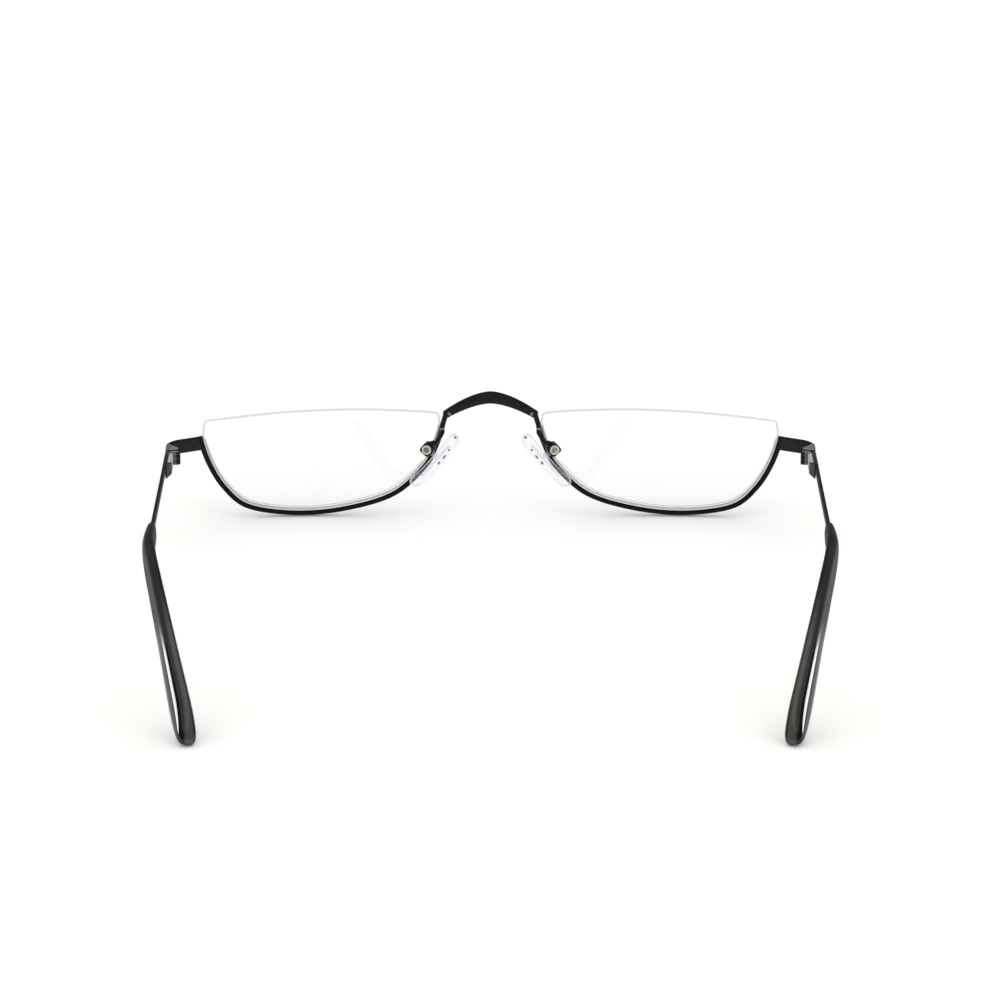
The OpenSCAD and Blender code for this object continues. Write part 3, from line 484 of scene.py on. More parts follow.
def painted_housing_highlight(nt, coord, colour, fine):
    """The spring housing's top and the upper part of its inner side have a painted highlight, up to its rear end."""
    out, ahead, height, (outwards, onwards, up) = places(nt, coord)
    across = value(nt, "SUBTRACT", out, times(nt, ahead, TOE_SLOPE))
    top = times(nt, between(nt, across, 0.00128, 0.00113), between(nt, up, 0.4, 0.7))
    above_axis = between(nt, height, hinge_point[2] * MM - 0.0004, hinge_point[2] * MM + 0.0001)
    flank = times(nt, between(nt, across, 0.0007, 0.0005), above_axis, between(nt, ahead, -0.0108, -0.0098))
    top_highlight = times(nt, value(nt, "MAXIMUM", top, flank), between(nt, ahead, -0.0125, -0.0115))
    return blended(nt, top_highlight, colour, two_tone(nt, fine, (0.38, 0.38, 0.39), (0.48, 0.48, 0.49)))


def painted_tip_reflection(nt, coord, colour, fine):
    """The inner face of the tip has a painted reflection, a duller grey towards the end."""
    out, ahead, height, (outwards, onwards, up) = places(nt, coord)
    inner = times(nt, between(nt, outwards, 0.12, -0.4), between(nt, outwards, -0.85, -0.6))
    low = between(nt, height, 0.0225, 0.0145)
    grey = two_tone(nt, fine, (0.056, 0.054, 0.048), (0.07, 0.068, 0.061))
    return blended(nt, times(nt, inner, low), colour, grey)


def painted_arm_highlight(nt, coord, colour, fine):
    """The rear of the pad arm has a painted highlight, a paler line along it."""
    onwards = places(nt, coord)[3][1]
    grey = two_tone(nt, fine, (0.07, 0.069, 0.066), (0.17, 0.168, 0.16))
    return blended(nt, between(nt, onwards, -0.74, -0.95), colour, grey)


def strip_fore(nt, coord, colour, fine):
    """The temple strip is greyer towards the hinge."""
    ahead = places(nt, coord)[1]
    grey = two_tone(nt, fine, (0.035, 0.034, 0.042), (0.055, 0.053, 0.064))
    return blended(nt, between(nt, ahead, -0.02, -0.004), colour, grey)


COAT = ((0.004, 0.004, 0.0037), (0.006, 0.006, 0.0055))
WIRE = ((0.005, 0.005, 0.0047), (0.008, 0.008, 0.0075))
SATIN, WIRE_SATIN, DULL = (0.26, 0.38), (0.3, 0.42), (0.5, 0.62)
black_metal = coated("black_coat", COAT, SATIN, 2400, 0.1, 0.15, over=painted_sheen_on_upright)
end_metal = coated("end_coat", COAT, SATIN, 2400, 0.1, 0.15, over=bare_end)
arm_metal = coated("arm_coat", COAT, SATIN, 2400, 0.1, 0.15, over=painted_arm_highlight)
wire_metal = coated("black_wire", WIRE, WIRE_SATIN, 2400, 0.1, 0.2)
knuckle_metal = coated("knuckle_coat", WIRE, WIRE_SATIN, 2400, 0.1, 0.2, over=painted_knuckle_highlight)
strip_metal = coated("strip_coat", ((0.006, 0.006, 0.007), (0.010, 0.010, 0.0115)), DULL, 2400, 0.1, 0.12,
    over=strip_fore)
grey_metal = coated("grey_plate", ((0.018, 0.018, 0.020), (0.032, 0.031, 0.034)), DULL, 2600, 0.1, 0.12,
    over=painted_housing_highlight)
bare_steel = coated("bare_steel", ((0.42, 0.42, 0.41), (0.55, 0.55, 0.53)), (0.22, 0.34), 2600, 0.15,
    metallic=1.0)
screw_steel = coated("screw_steel", ((0.72, 0.71, 0.69), (0.9, 0.89, 0.87)), (0.2, 0.3), 3200, 0.15, 0.8)
# The pad screw is painted a dark brownish grey, as painted shade in the middle of its head inside the bright rim.
screw_core = coated("screw_core", ((0.09, 0.08, 0.07), (0.42, 0.39, 0.34)), (0.3, 0.45), 14000, 0.4)
solder = coated("solder", ((0.12, 0.12, 0.118), (0.27, 0.27, 0.265)), (0.35, 0.5), 3000, 0.3, 0.4)
tip_plastic = coated("tip_plastic", ((0.0035, 0.0035, 0.004), (0.005, 0.005, 0.0055)), (0.05, 0.1), 900, 0.02,
    0.36, over=painted_tip_reflection, matte=(0.0112, 0.0172))
lens_clear = glass("lens_clear", (0.0, 0.004), 1.5, 0.97, 120)
edge_clear = veil("lens_edge", ((0.42, 0.425, 0.43), (0.5, 0.505, 0.51)), (0.1, 0.14), (0.3, 0.5), 1500)
edge_soft = veil("edge_soft", ((0.3, 0.305, 0.31), (0.4, 0.405, 0.41)), (0.06, 0.08), (0.3, 0.5), 1500,
    inward=True)
edge_ground = veil("edge_ground", ((0.84, 0.84, 0.83), (0.9, 0.9, 0.89)), (0.95, 1.0), (0.7, 0.9), 1500)
edge_line = veil("edge_line", ((0.3, 0.3, 0.3), (0.38, 0.38, 0.38)), (0.42, 0.5), (0.3, 0.5), 1500, inward=True)
nylon = veil("nylon", ((0.5, 0.505, 0.51), (0.6, 0.6, 0.61)), (0.08, 0.12), (0.3, 0.4), 2000)
silicone = veil("silicone", ((0.6, 0.58, 0.74), (0.7, 0.68, 0.84)), (0.09, 0.12), (0.2, 0.3), 900,
    edge=(0.35, 0.8, (0.97, 0.965, 0.99)))
core_clear = veil("core_clear", ((0.74, 0.72, 0.84), (0.84, 0.82, 0.92)), (0.24, 0.32), (0.25, 0.35), 1500)
pad_mark = veil("pad_mark", ((0.12, 0.10, 0.2), (0.2, 0.17, 0.3)), (0.75, 0.9), (0.3, 0.4), 2000)


# Lenses: two spherical faces, and an edge with small bevels and a groove. On the rear face a fine line
# runs a little inside the rim, where the ground bevel begins.
EDGE_IN, BEVEL = 0.02, 0.22
GROOVE_MOUTH, GROOVE_FLOOR = 0.27, 0.2
LINE_IN, LINE_W, FREE_LINE_IN = 0.8, 0.2, BEVEL + 0.2
LENS_RINGS = [1, 0.985, 0.94, 0.86, 0.74, 0.6, 0.44, 0.28, 0.13]
TEMPLE_LEAD, TEMPLE_FADE, NOSE_CUT, NOSE_FADE = 10, 24, 20, 12
edge = grown(outline, -EDGE_IN)
bevelled = grown(outline, -EDGE_IN - BEVEL)


def front_y(p): return on_ball(p, LENS_FRONT_R)
def rear_y(p): return on_ball(p, LENS_REAR_R, rear_ball_y)


def rim_share(i):
    """1 where the lens stands in the rim, 0 on its free edge, for that point of its outline."""
    at_nose = (len(outline) - NOSE_CUT - i) / NOSE_FADE if i > rim_start else 0
    return smoothed(min((i - rim_start + TEMPLE_LEAD) / TEMPLE_FADE, at_nose))


def lens_face(y_of, rims):
    """A face through the outlines in rims, and from the last of them to the middle."""
    rings = [[in_front(p, y_of(p)) for p in rim] for rim in rims[:-1]]
    for k in LENS_RINGS:
        ring = [part_way(lens_mid, p, k) for p in rims[-1]]
        rings.append([in_front(p, y_of(p)) for p in ring])
    v, f = skin(rings, caps=False)
    v.append(in_front(lens_mid, y_of(lens_mid)))
    n, first = len(outline), (len(rings) - 1) * len(outline)
    return v, f + [(first + k, first + (k + 1) % n, len(v) - 1) for k in range(n)]


line_rims = [[beside(outline, i, -mixed(FREE_LINE_IN + w, LINE_IN + w, rim_share(i)), True)
    for i in range(len(outline))] for w in (0, LINE_W)]
deep = grown(outline, -GROOVE_D)
lens_edge = skin([[in_front(p, front_y(p)) for p in bevelled],
    [in_front(p, front_y(p) - BEVEL) for p in edge],
    [in_front(p, in_groove(p) + GROOVE_MOUTH) for p in edge],
    [in_front(p, in_groove(p) + GROOVE_FLOOR) for p in deep],
    [in_front(p, in_groove(p) - GROOVE_FLOOR) for p in deep],
    [in_front(p, in_groove(p) - GROOVE_MOUTH) for p in edge],
    [in_front(p, rear_y(p) + BEVEL) for p in edge],
    [in_front(p, rear_y(p)) for p in bevelled]], caps=False)
lens_faces = joined(lens_face(front_y, [bevelled]), lens_face(rear_y, [bevelled] + line_rims))
CLEAR, FREE_EDGE, LINE, GROUND, SOFT = range(5)
face_count, first_rear_strip = len(lens_faces[1]), len(LENS_RINGS)


def lens_part(i):
    """The material of face i of the lens."""
    if i >= face_count:
        return GROUND if (i - face_count) % len(outline) >= rim_start else FREE_EDGE
    share = rim_share(i % len(outline))
    strip = i // len(outline) - first_rear_strip
    if strip == 0:
        return SOFT if share < 0.5 else CLEAR
    if strip == 1:
        return LINE if share > 0.5 else SOFT
    return CLEAR


for lens in pair("_lens_clear", joined(lens_faces, lens_edge), lens_clear, "front", "lens", "_lens", sharp=30):
    for mat in (edge_clear, edge_line, edge_ground, edge_soft):
        lens.data.materials.append(mat)
    for i, poly in enumerate(lens.data.polygons):
        poly.material_index = lens_part(i)

# Rims: a wire with rounded corners that follows the lens's edge and bends up into the stub
RIM_CORNER_R = 0.26
stub_start = part_way(rim_round[-1], stub_end, 0.25)
rim_path = rim_round + [part_way(rim_round[-1], stub_start, 0.75), part_way(stub_start, stub_end, 0.25), stub_end]
rings = []
for i in range(len(rim_path)):
    ring = []
    for d, w in rounded(RIM_T, RIM_DEPTH, RIM_CORNER_R, 4):
        q = beside(rim_path, i, d + RIM_T / 2)
        ring.append(in_front(q, on_ball(q, groove_r + w)))
    rings.append(ring)
pair("_rim_wire", skin(rings), wire_metal, "front", "black_metal", "_rim", sharp=50)

# Nylon cord in the groove of the top edge, from one end of the rim to the other
CORD_SUNK, CORD_EASE, CORD_OVERLAP = 0.14, 0.04, 2
top_edge = [outline[i % len(outline)] for i in range(round_last - CORD_OVERLAP, len(outline) + rim_start + 1)]
sunk = [beside(top_edge, i, -CORD_SUNK) for i in range(len(top_edge))]
cord = tube([in_front(q, in_groove(q)) for q in sunk], CORD_D / 2 - CORD_EASE, 10)
pair("_edge_cord", cord, nylon, "front", "nylon", "_lens_cord")

# Bridge: an arched strip with rounded edges
BRIDGE_CORNER_R, BRIDGE_STEPS = 0.28, 40
half = stub_end[0]
bridge_top = RIM_T + LENS_H + BRIDGE_CROWN
low_drop = BRIDGE_DROP - BRIDGE_H + BRIDGE_END_H
bridge_y = in_groove(stub_end)
rings = []
for i in range(-BRIDGE_STEPS, BRIDGE_STEPS + 1):
    x = half * i / BRIDGE_STEPS
    bend = (abs(x) / half) ** BRIDGE_SHAPE
    top, low = bridge_top - BRIDGE_DROP * bend, bridge_top - BRIDGE_H - low_drop * bend
    out = unit((2 * BRIDGE_BOW * x / half ** 2, 1, 0))
    y = bridge_y + BRIDGE_BOW * (1 - (x / half) ** 2)
    rings.append([in_front((x + d * out[0], (top + low) / 2 + h), y + d * out[1])
        for d, h in rounded(BRIDGE_T, top - low, BRIDGE_CORNER_R)])
piece("bridge_strip", skin(rings), black_metal, "front", "black_metal", ["bridge"], sharp=50)

# End pieces: a flat bar from the leg at the hinge round the corner, whose end follows the rim
BAR_CORNER_R, CORNER_STEPS = 0.3, 24
LEG_PAST_LEAF, BAR_PAST_RIM, BAR_IN_RIM, BAR_REACH = 0.6, 1.4, 0.25, 9.0
LEG_YS = (2.4, 3.0)
leg_x = AXIS_IN - END_T / 2
leg_bend_y = BUTT_Y + LEAF_L - LEG_PAST_LEAF
corner_r = END_CORNER_R - END_T / 2
turns = [(90 - END_SWEEP) * i / CORNER_STEPS for i in range(CORNER_STEPS + 1)]
corner = [(leg_x - corner_r * (1 - cos(a)), leg_bend_y + corner_r * sin(a), a) for a in turns]
bar_end_x = corner[-1][0] - (END_REACH - AXIS_IN + corner[-1][0] + BAR_PAST_RIM)
bar_slope = END_DROP / (leg_x - bar_end_x + END_T)
rim_outline = grown(outline, RIM_T - BAR_IN_RIM)


def end_z(x): return END_LIFT + END_DROP * held((leg_x - x) * bar_slope / END_DROP)


def inside(q, poly):
    hit = False
    for a, b in zip(poly, poly[1:] + poly[:1]):
        if (a[1] > q[1]) != (b[1] > q[1]) and q[0] < (b[0] - a[0]) * (q[1] - a[1]) / (b[1] - a[1]) + a[0]:
            hit = not hit
    return hit


def along_bar(p, t, slope=bar_slope):
    return (p[0] - t * cos(END_SWEEP), p[1] + t * sin(END_SWEEP), p[2] + t * slope)


def reach_of(p):
    """How far the bar goes on from that point until it meets the rim."""
    low, high = 0.0, BAR_REACH
    for _ in range(30):
        t = (low + high) / 2
        low, high = (low, t) if inside(front_plane(along_bar(p, t)), rim_outline) else (t, high)
    return low


rings = []
for x, y, a in [(leg_x, None, 0), (leg_x, LEG_YS[0], 0), (leg_x, LEG_YS[1], 0)] + corner:
    ring = []
    for d, h in rounded(END_T, END_H, BAR_CORNER_R):
        px = x + d * cos(a)
        py = (BUTT_Y - px * sin(TOE_IN)) / cos(TOE_IN) if y is None else y + d * sin(a)
        ring.append(end_point(px, py, end_z(px) + h))
    rings.append(ring)
bar_start = rings[-1]
reach = [reach_of(p) for p in bar_start]
for share in (0.25, 0.5, 0.75, 1.0):
    rings.append([along_bar(p, share * t, bar_slope * cos(END_SWEEP)) for p, t in zip(bar_start, reach)])
pair("_end_bar", skin(rings), end_metal, "front", "black_metal", "_end_piece", sharp=40)

# A fillet of solder over the leaf, in the corner of the end piece: its outline and heights from the axis
FILLET = [(1.5, 3.6, 1.86), (0.95, 3.3, 1.66), (0.3, 3.1, 1.45), (-0.33, 2.6, 1.4), (-0.36, 1.85, 1.37),
    (0.0, 1.4, 1.36), (0.5, 1.15, 1.36), (1.2, 1.05, 1.36), (1.85, 1.15, 1.38), (2.0, 1.8, 1.84), (1.85, 2.8, 1.86)]
FILLET_FOOT = 1.32
fillet_mid = middle_of(FILLET)


def fillet_ring(inwards, lift):
    return [end_point(*part_way(p, fillet_mid, inwards)[:2], p[2] + lift) for p in FILLET]


rings = [[end_point(p[0], p[1], FILLET_FOOT) for p in FILLET], fillet_ring(0, -0.03), fillet_ring(0.12, 0),
    fillet_ring(0.5, 0.06)]
pair("_leaf_solder", skin(rings), solder, "front", "black_metal", sharp=40)

# Temple strips: tall at the hinge, with bevels, and tapered along the spring housing to a lower shaft
BUTT_EASE, STRIP_EASE, STRIP_LIP = 0.05, 0.1, 0.08
HOUSING_STEPS, SHAFT_STEPS = 12, 20
strip_x = AXIS_IN - STRIP_T / 2


def strip_section(h):
    t, b = STRIP_T / 2, STRIP_H / 2 - STRIP_BEVEL
    flat = min(b, h / 2 - STRIP_EASE)
    slope = (h / 2 - flat) * (t - STRIP_EASE) / STRIP_BEVEL if h / 2 > b + 1.5 * STRIP_EASE else STRIP_EASE
    pts = [(t, flat), (t - slope, h / 2), (-t + STRIP_LIP, h / 2), (-t, h / 2 - STRIP_LIP)]
    return pts + [(x, -z) for x, z in reversed(pts)]


housing_end = -HOUSING_Y - HOUSING_L
stations = [(BUTT_Y - BUTT_EASE, STRIP_H), (BUTT_Y - 6 * BUTT_EASE, STRIP_H), (-HOUSING_Y, STRIP_H)]
stations += [(mixed(-HOUSING_Y, housing_end, i / HOUSING_STEPS), mixed(STRIP_H, STRIP_MID_H, i / HOUSING_STEPS))
    for i in range(1, HOUSING_STEPS + 1)]
stations += [(mixed(housing_end, -MOUTH_Y - TUCK, i / SHAFT_STEPS), STRIP_MID_H) for i in range(1, SHAFT_STEPS + 1)]
rings = [[in_temple((strip_x + x, y, z)) for x, z in strip_section(h)] for y, h in stations]
pair("_strip", skin(rings), strip_metal, "_temple_arm", "black_metal", "_temple", sharp=25)


# Temple tips: a rounded section that swells, bends down, rolls and ends blunt on the floor
def leaned(y, z): return (strip_x + z * sin(BEND_LEAN), y, z * cos(BEND_LEAN))


bend_l = math.radians(BEND_ANGLE) * BEND_R
bend_end = leaned(-BEND_Y - BEND_R * sin(BEND_ANGLE), -BEND_R * (1 - cos(BEND_ANGLE)))
drop_dir = add(leaned(-cos(BEND_ANGLE), -sin(BEND_ANGLE)), (strip_x, 0, 0), -1)
drop_slope = -temple_dir(drop_dir)[2]
reach_power = TIP_POWER / (TIP_POWER - 1)


def rounded_off(left, round_l, power):
    return max(0, 1 - (max(round_l - left, 0) / round_l) ** power) ** (1 / power)


def tip_low(left):
    """How far the tip reaches below the end of its middle line, that far before its end."""
    a = TIP_END_T / 2 * rounded_off(left, ROUND_L, SIDE_POWER) * sin(TIP_ROLL)
    b = TIP_END_H / 2 * rounded_off(left, TAPER_L, TAPER_POWER) * cos(TIP_ROLL)
    below = (a ** reach_power + b ** reach_power) ** (1 / reach_power)
    return below * math.sqrt(1 - drop_slope ** 2) - left * drop_slope


LOW_STEPS = 40
tip_rest = max(tip_low(TAPER_L * (i / LOW_STEPS) ** 2) for i in range(LOW_STEPS + 1))
path_l = BEND_Y + bend_l + (in_temple(bend_end)[2] - tip_rest) / drop_slope
swell_end, round_start = MOUTH_Y + SWELL, path_l - TAPER_L


def temple_place(s):
    if s < BEND_Y:
        return (strip_x, -s, 0)
    if s < BEND_Y + bend_l:
        a = math.degrees((s - BEND_Y) / BEND_R)
        return leaned(-BEND_Y - BEND_R * sin(a), -BEND_R * (1 - cos(a)))
    return add(bend_end, drop_dir, s - BEND_Y - bend_l)


def temple_along(s):
    a = min(max(math.degrees((s - BEND_Y) / BEND_R), 0), BEND_ANGLE)
    return add(leaned(-cos(a), -sin(a)), (strip_x, 0, 0), -1)


def tip_size(s, mouth, bend, end, power, round_l):
    if s < swell_end:
        return mixed(mouth, bend, math.sqrt(1 - (1 - held((s - MOUTH_Y) / SWELL)) ** 2))
    full = mixed(bend, end, (s - swell_end) / (path_l - round_l - swell_end))
    return full * rounded_off(path_l - s, round_l, power)


def tip_ring(s, inset, sides=56):
    along = unit(temple_along(s))
    side = unit(cross((0, 0, 1), along))
    top = cross(along, side)
    turn = TIP_ROLL * smoothed((s - path_l + TIP_ROLL_L) / (TIP_ROLL_L - ROUND_L))
    out = add(tuple(cos(turn) * c for c in side), top, sin(turn))
    up = add(tuple(cos(turn) * c for c in top), side, -sin(turn))
    a = max(tip_size(s, MOUTH_T, TIP_BEND_T, TIP_END_T, SIDE_POWER, ROUND_L) / 2 - inset, 0.0)
    b = max(tip_size(s, MOUTH_H, TIP_BEND_H, TIP_END_H, TAPER_POWER, TAPER_L) / 2 - inset, 0.0)
    return [in_temple(add(add(temple_place(s), out, a * squared(cos(q), TIP_POWER)), up,
        b * squared(sin(q), TIP_POWER))) for q in around(sides)]


# Along the tip, how far from the mouth and how far inside the section: first the rounded lip of the mouth
MOUTH_LIP = [(0, 0.3), (0, 0.16), (0.02, 0.07), (0.08, 0.02)]
LIP_L, SWELL_STEPS, SWELL_RATE, SHANK_STEPS, END_RINGS, LAST_TURN = 0.16, 22, 1.6, 60, 24, 89.6
stations = [(MOUTH_Y + s, inset) for s, inset in MOUTH_LIP]
stations += [(MOUTH_Y + LIP_L + (SWELL - LIP_L) * (i / SWELL_STEPS) ** SWELL_RATE, 0) for i in range(SWELL_STEPS)]
stations += [(mixed(swell_end, round_start, i / SHANK_STEPS), 0) for i in range(SHANK_STEPS)]
stations += [(round_start + TAPER_L * sin(LAST_TURN * i / END_RINGS), 0) for i in range(END_RINGS + 1)]
rings = [tip_ring(s, inset) for s, inset in stations]
pair("_tip", skin(rings), tip_plastic, "_temple_arm", "tip_plastic", "_temple_tip", sharp=60)

# Nose pads: rounded oblong layers, domed on both faces and bowed along their length
PAD_STEEP, PAD_POWER, PAD_SIDES, PAD_LAYERS = 84, 2.3, 64, 24
PAD_CUT_W, PAD_CUT_L, PAD_SHRINK = 0.25, 0.3, 0.1
DOME_FILL = (0.8, 0.6, 0.4, 0.2, 0.05)


def pad_layer(x, w, l):
    ring = []
    for q in around(PAD_SIDES):
        y, z = w * squared(cos(q), PAD_POWER), l * squared(sin(q), PAD_POWER)
        ring.append(in_pad((x + PAD_BOW * (2 * (z / (PAD_L / 2)) ** 2 - 1) / 2 - PAD_OFF, y, z - PAD_LOW)))
    return ring


layers = []
for i in range(PAD_LAYERS + 1):
    a = -PAD_STEEP + 2 * PAD_STEEP * i / PAD_LAYERS
    k = 1 - cos(a)
    x = PAD_T / 2 * sin(a) / sin(PAD_STEEP)
    w, l = PAD_W / 2 - PAD_CUT_W * PAD_T * k, PAD_L / 2 - PAD_CUT_L * PAD_T * k
    layers.append((x, w * (1 - PAD_SHRINK * k), l * (1 - PAD_SHRINK * k)))
first, last = [[(x, w * g, l * g) for g in DOME_FILL] for x, w, l in (layers[0], layers[-1])]
rings = [pad_layer(*layer) for layer in first[::-1] + layers + last]

# Small dark marks inside each pad, where the insert's tab and holes show: places and half sizes
PAD_MARKS = (((-3.4, -1.4, 3.15), (0.2, 0.34, 0.3)), ((-3.6, -1.4, 1.4), (0.2, 0.42, 0.55)),
    ((-3.6, -1.4, -0.3), (0.22, 0.4, 0.42)), ((-2.6, -0.6, 5.75), (0.34, 0.45, 0.24)))
pad_axes = [pad_dir(v) for v in ((1, 0, 0), (0, 1, 0), (0, 0, 1))]
marks = [blob(in_pad(at), pad_axes, size, 10) for at, size in PAD_MARKS]
pairs(("_soft_pad", skin(rings), silicone, "_pad", "silicone", "_nose_pad", 60),
    ("_pad_marks", joined(*marks), pad_mark, "_pad", "silicone", None, 60))

# Pad arms: a bent wire from the rim's rear face to the pad box, with a soldered foot
ARM_SUNK, KNEE_BACK, ARM_THINS = 0.12, 0.35, 0.1
RIM_LEAD, KNEE_SHARE, BOX_SHARE, BOX_LEAD, IN_BOX = 1.0, 0.35, 0.3, 0.5, 0.1
FOOT_AT, FOOT_SIZE = (-0.05, -0.42, 0.3), (0.55, 0.48, 0.55)
start = [p for p in coarse if p[1] > coarse[-1][1] - PAD_ARM_LOW][0]
at_rim = in_front((start[0] - RIM_T / 2 - ARM_OUT, start[1]), in_groove(start) - RIM_DEPTH / 2 + ARM_SUNK)
face, inwards = (-sin(PAD_LEAN), 0, cos(PAD_LEAN)), (cos(PAD_LEAN), 0, sin(PAD_LEAN))
at_box = add(add(pad_point, face, PAD_BOX / 2), inwards, -ARM_SIDE)
knee = add(at_rim, (0, -1, 0), ARM_BACK + KNEE_BACK)
path = bezier(at_rim, add(at_rim, (0, -1, 0), RIM_LEAD), knee, part_way(knee, at_box, KNEE_SHARE), 14)
path += bezier(path[-1], part_way(path[-1], at_box, BOX_SHARE), add(at_box, face, BOX_LEAD),
    add(at_box, face, -IN_BOX), 12)[1:]
arm = tube(path, lambda t: PAD_ARM_D / 2 * (1 - ARM_THINS * smoothed(t)), 20)
foot = blob(add(at_rim, FOOT_AT), ((1, 0, 0), (0, 0, 1), (0, 1, 0)), FOOT_SIZE)

# A spot of solder where the bridge meets each rim
SPOT_IN, SPOT_DROP, SPOT_SUNK, SPOT_TURN, SPOT_SIZE = 1.25, 0.05, 0.2, 60, (0.5, 0.3, 0.36)
at_bridge = in_front((stub_end[0] - SPOT_IN, stub_end[1] - SPOT_DROP), bridge_y - BRIDGE_T / 2 + SPOT_SUNK)
spot_axes = [turned_y(v, -SPOT_TURN) for v in ((1, 0, 0), (0, 1, 0), (0, 0, 1))]
spot = blob(at_bridge, spot_axes, SPOT_SIZE)
pairs(("_arm_wire", arm, arm_metal, "front", "black_metal", "_pad_arm", 60),
    ("_arm_solder", foot, solder, "front", "black_metal", None, 35),
    ("_bridge_solder", spot, solder, "front", "black_metal", None, 35))

# Pad boxes: two cheeks with rounded corners, the wall and roof between them, and a fillet to the arm
CHEEK_CORNER_R, BOX_SOFT, WALL_T, WALL_OVERLAP = 0.6, 0.08, 0.4, 0.1
WALL_FROM, WALL_TO = -PAD_BOX / 2 + 0.45, PAD_BOX / 2 - 0.2


def cheek(y0, y1):
    rings = []
    edges = [(k * BOX_SOFT, BOX_SOFT * soft) for k, soft in ((0, 1), (0.3, 0.3), (1, 0))]
    for y, inset in [(y0 + d, s) for d, s in edges] + [(y1 - d, s) for d, s in reversed(edges)]:
        ring = []
        for x, z in rounded(PAD_BOX, PAD_BOX, CHEEK_CORNER_R, 8):
            k = 1 - inset / math.hypot(x, z)
            ring.append(in_pad((x * k, y, z * k)))
        rings.append(ring)
    return skin(rings)


span = PAD_SLOT / 2 + WALL_OVERLAP
across = [(-span, PAD_BOX / 2), (span, PAD_BOX / 2), (span, PAD_BOX / 2 - WALL_T), (-span, PAD_BOX / 2 - WALL_T)]
roof = skin([[in_pad((x, y, z)) for y, z in across] for x in (WALL_FROM, WALL_TO)])
wall = skin([[in_pad((x, y, z)) for y, x in across] for z in (WALL_FROM, WALL_TO)])
box = joined(cheek(-PAD_BOX_W / 2, -PAD_SLOT / 2), cheek(PAD_SLOT / 2, PAD_BOX_W / 2), roof, wall)
SEAM_AT, SEAM_AXES, SEAM_SIZE = (-1.0, 0.1, 1.22), ((0.97, 0, -0.2), (0, 1, 0), (0.2, 0, 0.97)), (1.15, 0.6, 0.5)
fillet = blob(add(pad_point, SEAM_AT), SEAM_AXES, SEAM_SIZE)
pairs(("_box_cheeks", box, black_metal, "front", "black_metal", "_pad_box", 40),
    ("_box_solder", fillet, black_metal, "front", "black_metal", None, 60))

# A bright rolled rim round each pad screw's head: radius, and distance from the head's plane to the box
HEAD_T = 0.5
SCREW_RIM = [(0.62, 0.2), (0.64, 0.02), (0.69, -0.06), (0.76, -0.08), (0.84, -0.05), (0.89, 0.03), (0.9, 0.2),
    (0.8, 0.24)]
head_y = -PAD_BOX_W / 2 - HEAD_T
rings = [[in_pad((r * cos(a), head_y + y, r * sin(a))) for r, y in SCREW_RIM] for a in around(40)]
pair("_screw_rim", skin(rings, closed=True), screw_steel, "front", "screw_steel", sharp=60)

# The other nodes keep their CAD shape. Where a width is given, their edges are finely rounded by that.
CAD_LOOKS = (("hinge_leaf", knuckle_metal, 0.06), ("hinge_screw", solder, 0.04),
    ("hinge_tongue", knuckle_metal, 0.05), ("hinge_bush", bare_steel, 0), ("hinge_spring", bare_steel, 0),
    ("spring_housing", grey_metal, 0.1), ("pad_screw", screw_core, 0.05), ("pad_core", core_clear, 0.06),
    ("rim_liner", nylon, 0))
CAD_WELD, CAD_SHARP = 2e-6, 40
for name, side in SIDES:
    for node, mat, width in CAD_LOOKS:
        ob = frame["nodes"][name + "_" + node]
        ob.data.materials.clear()
        ob.data.materials.append(mat)
        if width:
            weld = ob.modifiers.new("Weld", "WELD")
            weld.merge_threshold = CAD_WELD
            bevel = ob.modifiers.new("Bevel", "BEVEL")
            bevel.width = width * MM
            bevel.segments = 2
            bevel.limit_method = "ANGLE"
            bevel.angle_limit = math.radians(CAD_SHARP)


# Floor, world and studio light
def staged(name, verts, faces, mat):
    me = bpy.data.meshes.new(name)
    me.from_pydata(verts, [], faces)
    me.materials.append(mat)
    ob = bpy.data.objects.new(name, me)
    scene.collection.objects.link(ob)
    return ob


scene = bpy.context.scene
floor_mat, nt, bsdf, coord = node_tree("floor_paper")
paper = two_tone(nt, noise(nt, coord, 3.0, 2.0), (0.94, 0.94, 0.945), (0.955, 0.955, 0.955))
nt.links.new(paper, bsdf.inputs["Base Color"])
bsdf.inputs["Roughness"].default_value = 0.9
bsdf.inputs["Specular IOR Level"].default_value = 0.0
# What the camera, mirrors and clear stuff see of the paper is lifted to white, and its shadows stay
PAPER_LIFT = 0.12
shine, both = nt.nodes.new("ShaderNodeEmission"), nt.nodes.new("ShaderNodeAddShader")
path = nt.nodes.new("ShaderNodeLightPath").outputs
seen = value(nt, "MAXIMUM", value(nt, "MAXIMUM", path["Is Camera Ray"], path["Is Glossy Ray"]),
    path["Is Transmission Ray"])
nt.links.new(times(nt, seen, PAPER_LIFT), shine.inputs["Strength"])
nt.links.new(bsdf.outputs["BSDF"], both.inputs[0])
nt.links.new(shine.outputs["Emission"], both.inputs[1])
nt.links.new(both.outputs["Shader"], nt.nodes["Material Output"].inputs["Surface"])
FLOOR_R, FLOOR_Z = 12, -0.00003
staged("floor", [(x * FLOOR_R, y * FLOOR_R, FLOOR_Z) for x, y in ((-1, -1), (1, -1), (1, 1), (-1, 1))],
    [(0, 1, 2, 3)], floor_mat)

world = bpy.data.worlds.new("studio")
scene.world = world
world.use_nodes = True
world.node_tree.nodes["Background"].inputs["Color"].default_value = (1.0, 0.995, 0.97, 1)
world.node_tree.nodes["Background"].inputs["Strength"].default_value = 1.0

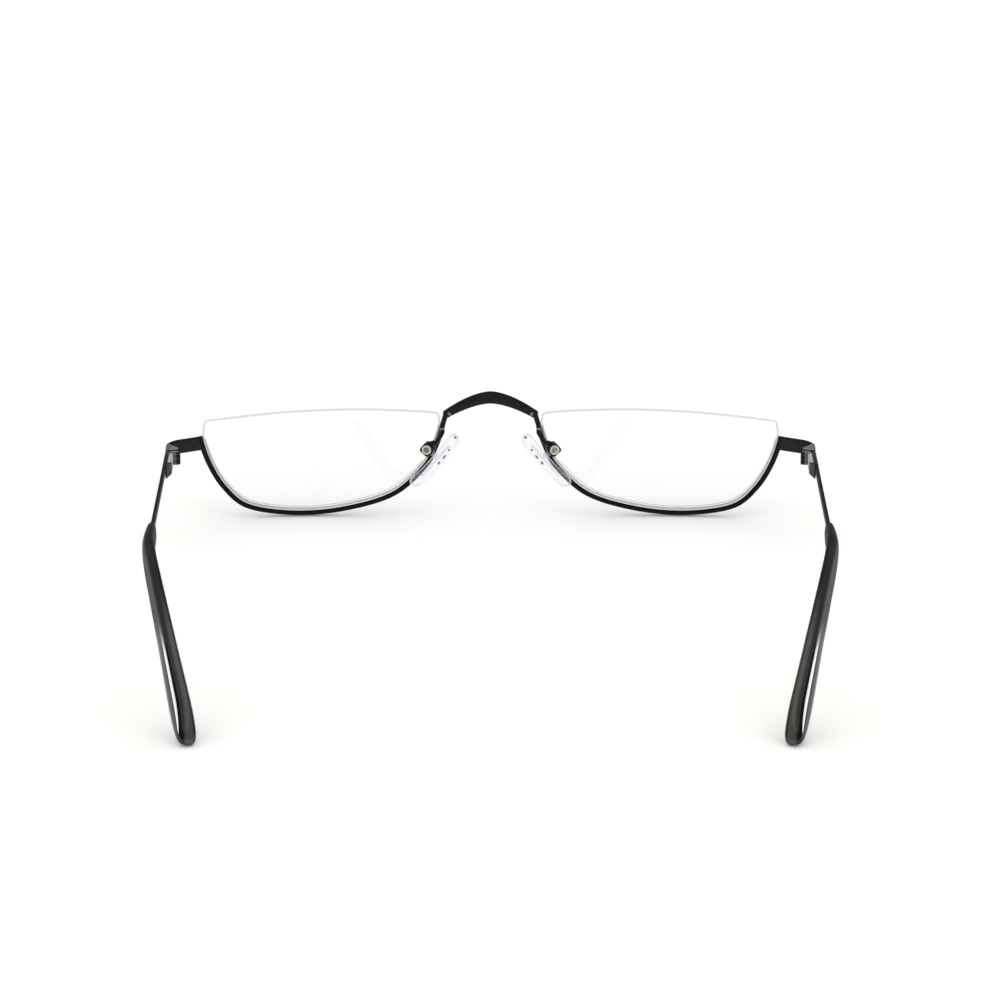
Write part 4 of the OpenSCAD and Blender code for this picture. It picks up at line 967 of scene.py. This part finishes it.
# A dark wall all round, seen only in reflections, which draws the black metal and plastic
wall_mat, nt, bsdf, coord = node_tree("dark_wall")
nt.nodes.remove(bsdf)
glow = nt.nodes.new("ShaderNodeEmission")
nt.links.new(two_tone(nt, noise(nt, coord, 0.6, 2.0), (0.10, 0.10, 0.125), (0.12, 0.12, 0.145)), glow.inputs["Color"])
nt.links.new(glow.outputs["Emission"], nt.nodes["Material Output"].inputs["Surface"])
WALL_R, WALL_FOOT, WALL_H, N = 2.4, 0.001, 2.3, 48
wall_points = [(WALL_R * cos(a), WALL_R * sin(a), z) for z in (WALL_FOOT, WALL_H) for a in around(N)]
wall_faces = [(i, (i + 1) % N, N + (i + 1) % N, N + i) for i in range(N)]
dark_wall = staged("dark_wall", wall_points, wall_faces, wall_mat)
dark_wall.visible_camera = dark_wall.visible_transmission = False
dark_wall.visible_diffuse = dark_wall.visible_shadow = False

# A lamp low on each side, seen only in that side's pieces, draws the bright line along the tip
LAMP_AT, LAMP_AIM, LAMP_W, LAMP_H, LAMP_RADIANCE = (0.95, 0.25, 0.175), (0, -0.02, 0.01), 0.27, 0.33, 17
for name, side in SIDES:
    data = bpy.data.lights.new(name + "_lamp", "AREA")
    data.shape = "RECTANGLE"
    data.size, data.size_y = LAMP_W, LAMP_H
    data.energy = LAMP_RADIANCE * math.pi * LAMP_W * LAMP_H
    data.color = (0.97, 0.98, 1.0)
    lamp = bpy.data.objects.new(name + "_lamp", data)
    lamp.location = (side * LAMP_AT[0], *LAMP_AT[1:])
    lamp.rotation_euler = (Vector(LAMP_AIM) - lamp.location).to_track_quat("-Z", "Y").to_euler()
    lamp.visible_camera = lamp.visible_transmission = lamp.visible_diffuse = False
    scene.collection.objects.link(lamp)
    lit = bpy.data.collections.new(name + "_lamp_pieces")
    for ob in scene.objects:
        if ob.type == "MESH" and ob.name.startswith(name + "_"):
            lit.objects.link(ob)
    lamp.light_linking.receiver_collection = lit

# Camera: behind the wearer and above, as the photograph was taken
CAMERA_BACK, CAMERA_UP, CAMERA_DOWN = 714.4, 228.5, 17.5
camera = bpy.data.cameras.new("camera")
camera.lens, camera.sensor_width = 131.76, 36
camera.shift_x = 0.0095
cam = bpy.data.objects.new("camera", camera)
cam.location = (0, (shift_y - CAMERA_BACK) * MM, CAMERA_UP * MM)
cam.rotation_euler = (math.radians(90 - CAMERA_DOWN), 0, 0)
scene.collection.objects.link(cam)
scene.camera = cam
scene.view_settings.view_transform = "Standard"
